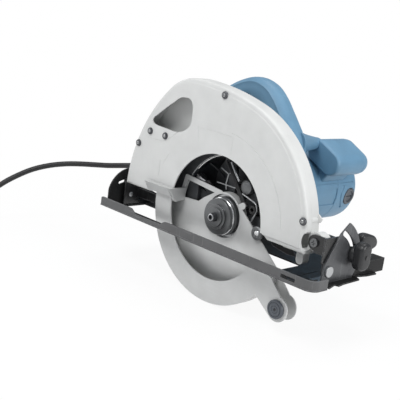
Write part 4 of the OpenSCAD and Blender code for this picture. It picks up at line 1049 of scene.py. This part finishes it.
def make_repeater():
    """Geometry Nodes: Part on every point, turned about Y by up to Turn degrees, then made real."""
    inputs = [("Part", "Object", None), ("Finish", "Material", None), ("Turn", "Float", None),
              ("Seed", "Int", None)]
    tree, given, out = geometry_tree("copies_on_points", *inputs)
    part = put(tree, "GeometryNodeObjectInfo", Object=given["Part"]).outputs["Geometry"]
    angle = put(tree, "FunctionNodeRandomValue", data_type="FLOAT", Seed=given["Seed"])
    feed(angle.inputs[3], given["Turn"])   # the highest value of the float kind
    turn = put(tree, "CombineXYZ", Y=angle.outputs[1])
    copies = put(tree, "GeometryNodeInstanceOnPoints", Points=given["Geometry"], Instance=part,
                 Rotation=turn.outputs[0])
    real = put(tree, "GeometryNodeRealizeInstances", Geometry=copies.outputs[0])
    paint = put(tree, "GeometryNodeSetMaterial", Geometry=real.outputs[0], Material=given["Finish"])
    feed(out["Geometry"], paint.outputs[0])
    return tree


REPEATER = make_repeater()
SCREW_SEED = 7


def repeated(name, part, places, slot, body):
    """One mesh with a copy of the part at every place; the part itself is removed."""
    part.data.transform(Matrix.Translation(-at(0, 0, 0)))
    host = mesh_piece(name, [at(*p) for p in places], [], False)
    copies = host.modifiers.new("copies", "NODES")
    copies.node_group = REPEATER
    inputs = {"Part": part, "Finish": FINISHES[slot], "Turn": 2 * math.pi, "Seed": SCREW_SEED}
    for key, value in inputs.items():
        copies[socket_id(REPEATER, key)] = value
    apply_modifiers(host)
    bpy.data.objects.remove(part)
    shade_cleanly(host, 0, False)
    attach(host, body)
    return host


# %% Cover screws
COVER_SCREWS = [(-146, 91), (-113, 90), (-169, 69), (-7, 165), (150, 36)]
# The head's wide dark ring is painted shade: it stands for the shadow in the recess round the screw; the
# bright core holds the socket.
head_and_shade_ring = turned("screw", [(0, 0.6), (4.9, 0.6), (5.1, 0.0), (5.1, -1.0), (4.6, -2.0), (3.6, -2.6), (2.7, -2.5),
                        (2.4, -1.9), (0, -1.9)], "Y", (0, 0, 0), 32)
screw_places = [(x, COVER_Y, z) for x, z in COVER_SCREWS]
screw_heads_with_shade_ring = repeated("cover_screw_heads", head_and_shade_ring, screw_places, "dark_screw", "housing")
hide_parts("cover_screws")
core = turned("core", [(0, -1.5), (2.25, -1.5), (2.25, -2.7), (1.9, -3.0), (0, -3.0)], "Y", (0, 0, 0), 24)
carve(core, slab("socket", arc((0, 0), 1.15, 0, 300, 5), -3.5, -1.9))
repeated("cover_screw_sockets", core, screw_places, "zinc_plated", "housing")
print("cover screws:", len(COVER_SCREWS))

# %% [markdown]
# ## Inside the guard
# Behind the window the gear case opens like a bell. It closes the view to the back, and carries
# thin cast ribs, a round boss, a lug for a screw, and a strap for the guard's spring.

# %% Gear case bell
BELL_MOUTH_R, BELL_BACK_R, BELL_WALL = 83.0, 52.5, 2.2
BELL_RIBS = [(-51, 63, -33, 42), (-6, 80, -2, 62), (38, 74, 30, 60), (-72, 26, -50, 30), (62, 50, 46, 42)]


def bell_section(t, inwards):
    """Part of a ring about a centre that moves from the spindle to the motor's axis."""
    s = smooth_step(t, 0, 1)
    radius = BELL_MOUTH_R + s * (BELL_BACK_R - BELL_MOUTH_R) - inwards
    return arc((s * MOTOR_X, s * MOTOR_Z), radius, -8, 188, 60)


def make_bell():
    rings = []
    for i in range(13):
        t = i / 12
        y = 9.2 + t * 36.0
        rings.append(ring_y(bell_section(t, 0), y) + ring_y(bell_section(t, BELL_WALL)[::-1], y - 0.6))
    parts = [swept("bell", rings),
             tube("rim_bead", [(x, 8.8, z) for x, z in arc((0, 0), 84.2, -6, 186, 60)], 0.8, 8)]
    for x0, z0, x1, z1 in BELL_RIBS:
        parts.append(tube("rib", [(x0, 17, z0), ((x0 + x1) / 2, 27, (z0 + z1) / 2 + 1.5), (x1, 37, z1)], 1.5))
    settle(joined("gear_case_bell", parts), "grey_casting", "housing", paint="bell_casting")


make_bell()
# A dark sheet over the pale case's back face round the window is painted shade: it darkens the inside of the
# guard, which lies in shadow.
shade_sheet_outline = arc((0, 0), 119, 4, 180, 72) + arc((0, 0), 84.5, 180, 4, 72)
settle(slab("case_liner", shade_sheet_outline, 5.8, 6.3), "grey_casting", "housing")

# %% Ribs with painted highlights, rod and boss behind the window
LUG = [(2.6, 7.2), (3.0, 6.4), (5.4, 6.4), (6.0, 7.2), (6.0, 12), (2.6, 12)]
BOSS = [(0, 5.7), (3.5, 5.9), (7.0, 6.8), (9.4, 8.4), (10.0, 10.0), (10.0, 14), (0, 14)]
BUMPER = [(4.4, -0.6), (4.9, -1.4), (8.0, -1.4), (9.2, -0.4), (9.2, 2.6), (4.4, 2.6)]
BUMPER_PIN = [(0, -1.2), (3.4, -1.1), (4.3, -0.2), (4.3, 2.6), (0, 2.6)]
BUMPER_AT = (66, 0, -5.6)
CLIP = [(-47, 31), (-36, 30), (-33, 36), (-39, 41), (-46, 39)]
STRAP = [(-66, 33.5), (-45.1, 28.7), (-42.0, 31), (-41.5, 37.7), (-64, 44.5)]


def make_inner_details():
    # The three thin rib tubes are bright steel to paint the highlight lines on the dark casting behind the
    # window.
    highlight_ribs = [[(-21, 62.9), (-6.3, 57.3), (-1, 61.2)], [(-6.3, 57.3), (-8.7, 44.1), (-7.1, 35.5)],
            [(-25.7, 41.8), (-9.5, 41.6), (10, 41.5)]]
    light = [tube("rib", [(x, 9.6, z) for x, z in line], 0.9) for line in highlight_ribs]
    light.append(tube("arm", [(-2.5, 8.5, 75.1), (8, 7.5, 63), (17.5, 7, 53)], 2.2))
    curve = [(21, 37.5), (36, 33.5), (50.6, 27.9), (51.8, 18.4), (45.3, 4.0)]
    light.append(tube("web", spline([(x, 9.4, z) for x, z in curve], 6), 1.3))
    settle(joined("window_ribs", light), "machined_steel", "housing")
    dark = [tube("rod", [(-11.1, 7.4, 75.9), (30.3, 7.4, 22.6)], 1.9, 20), slab("clip", CLIP, 6.4, 9.4),
            turned("lug", LUG, "Y", (46.5, 0, 20.2), 40)]
    settle(joined("window_rod", dark), "cord_rubber", "housing", width=0.4)
    strap = slab("spring_strap", STRAP, 6.6, 8.0)
    settle(strap, "bearing_steel", "housing", width=0.5, merge_flat=True)
    settle(turned("window_boss", BOSS, "Y", (29.1, 0, 47.1), 48), "flange_steel", "housing")
    settle(turned("bumper_ring", BUMPER, "Y", BUMPER_AT, 48), "flange_steel", "housing")
    settle(turned("bumper_pin", BUMPER_PIN, "Y", BUMPER_AT, 32), "chrome_part", "housing")


make_inner_details()

# %% Bar under the case and web beside the pivot
bar = slab("case_bar", [(79, -8), (116, -8.5), (128, -20), (112, -21), (88, -17)], 9.2, 11.2)
settle(bar, "black_steel", "housing", width=0.5, merge_flat=True)
web = slab("case_web", [(138, 56), (150.3, 45.9), (160, 39), (157.5, 34), (148, 33), (138, 34)], 6.4, 8.4)
settle(web, "pale_casting", "housing", width=0.5, merge_flat=True)
print("details behind the window are in place")

# %% [markdown]
# ## Guard rollers, flanges and knobs
# The rollers are turned plastic with ring grooves. A bright spacer shows between the flanges. The
# knob and the fence screw are soft black mouldings, made by insetting an outline ring by ring.

# %% Rollers and spacer
ROLLER_AT = (129, 0, -86)
ROLLER_FACE = [(0, 0.9), (1.7, 0.9), (2.0, 0.2), (4.2, 0.0), (4.5, 0.6), (5.0, 0.6), (5.3, 0.1), (8.6, 0.1),
               (8.9, 0.9), (9.5, 0.9), (9.9, 0.1), (11.5, 0.0), (12.2, 0.4), (12.5, 1.1)]


def make_roller(name, node, body, y_in, y_out):
    """A grooved roller between its inner and outer face."""
    s = 1 if y_out > y_in else -1
    profile = [(r, y_out - s * depth) for r, depth in ROLLER_FACE]
    profile += [(12.5, y_in + s * 0.5), (12.0, y_in), (0, y_in)]
    settle(turned(name, profile, "Y", ROLLER_AT, 72), "grey_plastic", body, node)


make_roller("roller_near_skin", "guard_roller_near", "near_roller", -15.3, -19.4)
make_roller("roller_far_skin", "guard_roller_far", "far_roller", 5.3, 9.4)
bolt_profile = [(0, -19.3), (1.4, -19.3), (1.5, -18.6), (1.5, -15), (0, -15)]
bolt = turned("roller_bolt", bolt_profile, "Y", ROLLER_AT, 24)
settle(bolt, "black_plastic", "lower_guard_group", "roller_pin")
rim = [(3.3, -21.4), (3.6, -22.4), (4.4, -22.6), (5.0, -22.2), (5.0, -21.4)]
settle(turned("bolt_rim", rim, "Y", (0, 0, 0), 40), "zinc_plated", "arbor")
spacer = [(9, -4.7), (25.6, -4.7), (26.1, -4.3), (26.1, -2.8), (25.6, -2.3), (9, -2.3)]
settle(turned("spacer_skin", spacer, "Y", (0, 0, 0), 96), "chrome_part", "arbor", "spacer_ring")

# %% Knobs
def soft_block(name, outline, x_start, x_end, edge):
    """A moulded block along X from an outline in Y and Z, with round edges at both ends."""
    rings = []
    steps = 5
    for end, sign in ((x_start, 1), (x_end, -1)):
        part = []
        for i in range(steps + 1):
            a = math.radians(90 * i / steps)
            ring = inset(outline, edge * (1 - math.sin(a)) + 0.01)
            part.append([at(end + sign * edge * (1 - math.cos(a)), y, z) for y, z in ring])
        rings += part if sign > 0 else part[::-1]
    return swept(name, rings)


KNOB_Y, KNOB_Z = 47.9, -1.6
hub = [(0, 186.2), (11.4, 186.2), (12.0, 186.8), (12.0, 191.5), (10.5, 194), (0, 194)]
wing = rounded_box(KNOB_Y - 11.5, KNOB_Y + 11.5, KNOB_Z - 18, KNOB_Z + 18, 10.5, 10)
knob = joined("bevel_knob_skin", [turned("boss", hub, "X", (0, KNOB_Y, KNOB_Z), 56),
                                  soft_block("wing", wing, 190.5, 206, 4.5)])
settle(knob, "black_plastic", "bevel_knob_body", "bevel_knob")

blob = [(80, -2), (92, -4.5), (103, -4.5), (110, -1), (111, 5), (106, 11.5), (96, 15.5), (82, 18), (75, 16),
        (74, 6)]
blob = [(p.x, p.y) for p in spline([(y, z, 0) for y, z in (blob[-1:] + blob + blob[:2])], 5)[5:-6]]
stem = [(0, -34), (4.6, -34), (4.6, -4), (7, -3), (7, 2), (0, 2)]
fence_stem = turned("stem", stem, "Z", (174.5, 92, 0), 32)
fence_knob = joined("fence_knob_skin", [soft_block("blob", blob, 168.5, 180.5, 3.5), fence_stem])
settle(fence_knob, "black_plastic", "fence_screw_body", "fence_screw")
print("rollers, spacer and knobs are in place")

# %% [markdown]
# ## Shoe details
# The pressed shoe's near wall wraps round the front corner, and the plate closes the opening's
# front end. A rolled lip runs along the wall's lower edge.

# %% Shoe corner and front plate
WALL_DIP = (-142.0, -129.0, -78.0, -65.0)   # the wall is low between the inner two, with a ramp at each end


def wall_path(offset):
    """The near wall's line in X and Y, with its round front corner."""
    x1, y0, r = shoe_hi.x - 0.4 - offset, shoe_lo.y + offset, 13.0 - offset
    straight = [(shoe_lo.x + 5 * i / 4, y0) for i in range(5)]
    straight += [(x, y0) for x in np.linspace(WALL_DIP[0] - 6, WALL_DIP[3] + 6, 40)] + [(60.0, y0)]
    return straight + arc((x1 - r, y0 + r), r, -90, 0, 12) + [(x1, -14.0)]


def wall_top(x):
    dip = smooth_step(x, *WALL_DIP[:2]) * (1 - smooth_step(x, *WALL_DIP[2:]))
    end = smooth_step(x, shoe_lo.x - 3, shoe_lo.x + 4)
    return -22.8 - 6.4 * dip - 2.0 * (1 - end)


def make_shoe_front():
    low = -36.0
    rings = [[at(ox, oy, low), at(ox, oy, wall_top(ox)), at(ix, iy, wall_top(ox)), at(ix, iy, low)]
             for (ox, oy), (ix, iy) in zip(wall_path(-0.25), wall_path(2.0))]
    wall = swept("wall", rings)
    carve(wall, block("slot", (148, -46, -32.2), (170, -40, -27.4)))
    front = slab("shoe_front_plate", [(126, -36), (151, -36), (151, -33.6), (126, -33.6)], -24.6, 27.6)
    lip = tube("lip", [(x, y - 0.2, -35.6) for x, y in wall_path(-0.1)], 0.9)
    settle(front, "black_steel", "shoe_group", paint="shoe_paint")
    # The near wall gets the lighter copy of the black paint: a painted reflection.
    settle(joined("shoe_wall", [wall, lip]), "black_steel", "shoe_group", paint="wall_paint", width=0.35)


make_shoe_front()
panel = [(-14, -34.5), (53, -34.5), (53, -20), (40, -14), (0, 2), (-14, 8)]
rear_panel = prism("shoe_rear_panel", *([at(x, y, z) for y, z in panel] for x in (-195.5, -193.5)))
settle(rear_panel, "black_steel", "shoe_group", width=0.4, merge_flat=True)
rivet = turned("shoe_rear_rivet", [(0, -191.4), (2.2, -191.6), (3.5, -192.6), (3.8, -194), (0, -194)], "X",
               (0, -1.5, -17.6), 32)
settle(rivet, "zinc_plated", "shoe_group")
print("shoe details are in place")

# %% [markdown]
# ## Floor and light
# A plain pale floor lies just under the guard. To the camera it is nearly white, but it keeps the
# object's shadow. Big soft lamps give a studio's even light, and the world is a pale grey that shows
# as white in the background and in reflections.

# %% Floor
FLOOR_HALF = 6.0                        # metres
NEAR_OBJECT, FAR_AWAY = 0.35, 0.9       # metres over which the floor turns quite white
WHITE = (1, 1, 1, 1)


def blend(tree, end, factor, first, second):
    """Sends a mix of two shaders to the tree's end node."""
    mix = put(tree, "MixShader")
    for socket, value in zip(mix.inputs, (factor, first.outputs[0], second.outputs[0])):
        feed(socket, value)
    put(tree, end, Surface=mix.outputs[0])


def make_floor():
    material = bpy.data.materials.new("pale_floor")
    tree = blank_tree(material)
    rays = put(tree, "LightPath").outputs
    seen = maths(tree, "MAXIMUM", rays["Is Camera Ray"],
                 maths(tree, "MAXIMUM", rays["Is Glossy Ray"], rays["Is Transmission Ray"]))
    away = maths(tree, "LENGTH", put(tree, "TexCoord").outputs["Object"], kind="VectorMath", output="Value")
    whiter = spread(tree, away, NEAR_OBJECT, FAR_AWAY, 0.92, 1.0)
    blend(tree, "OutputMaterial", maths(tree, "MULTIPLY", seen, whiter),
          put(tree, "BsdfDiffuse", Color=(0.86, 0.86, 0.86, 1)),
          put(tree, "Emission", Color=WHITE, Strength=1.0))
    corners = [(-FLOOR_HALF, -FLOOR_HALF), (FLOOR_HALF, -FLOOR_HALF), (FLOOR_HALF, FLOOR_HALF),
               (-FLOOR_HALF, FLOOR_HALF)]
    level = origin.z + FLOOR_Z / 1000
    floor = mesh_piece("floor", [(x, y, level) for x, y in corners], [(0, 1, 2, 3)], False)
    floor.data.materials.append(material)


make_floor()

# %% World and lamps
def make_world(level):
    world = bpy.data.worlds.new("studio")
    SCENE.world = world
    tree = blank_tree(world)
    rays = put(tree, "LightPath").outputs
    blend(tree, "OutputWorld", maths(tree, "MAXIMUM", rays["Is Camera Ray"], rays["Is Transmission Ray"]),
          put(tree, "Background", Color=(0.93, 0.96, 1.0, 1), Strength=level),
          put(tree, "Background", Color=WHITE, Strength=1.0))


AIM = at(0, 60, 20)
LAMPS = [("key", (0.1, -1.3, 1.5), (0.8, 0.8), 22), ("left_soft", (-1.6, -0.7, 0.7), (1.0, 1.0), 9),
         ("front_soft", (1.7, 0.2, 0.6), (0.8, 0.8), 17), ("top_soft", (0.0, 0.6, 1.9), (1.2, 0.8), 12)]


def make_lamp(name, place, size, watts):
    data = bpy.data.lights.new(name, "AREA")
    data.shape = "RECTANGLE"
    data.size, data.size_y = size
    data.energy = watts
    lamp = bpy.data.objects.new(name, data)
    lamp.location = place
    lamp.rotation_euler = (AIM - Vector(place)).to_track_quat("-Z", "Y").to_euler()
    SCENE.collection.objects.link(lamp)


make_world(0.36)
for lamp in LAMPS:
    make_lamp(*lamp)
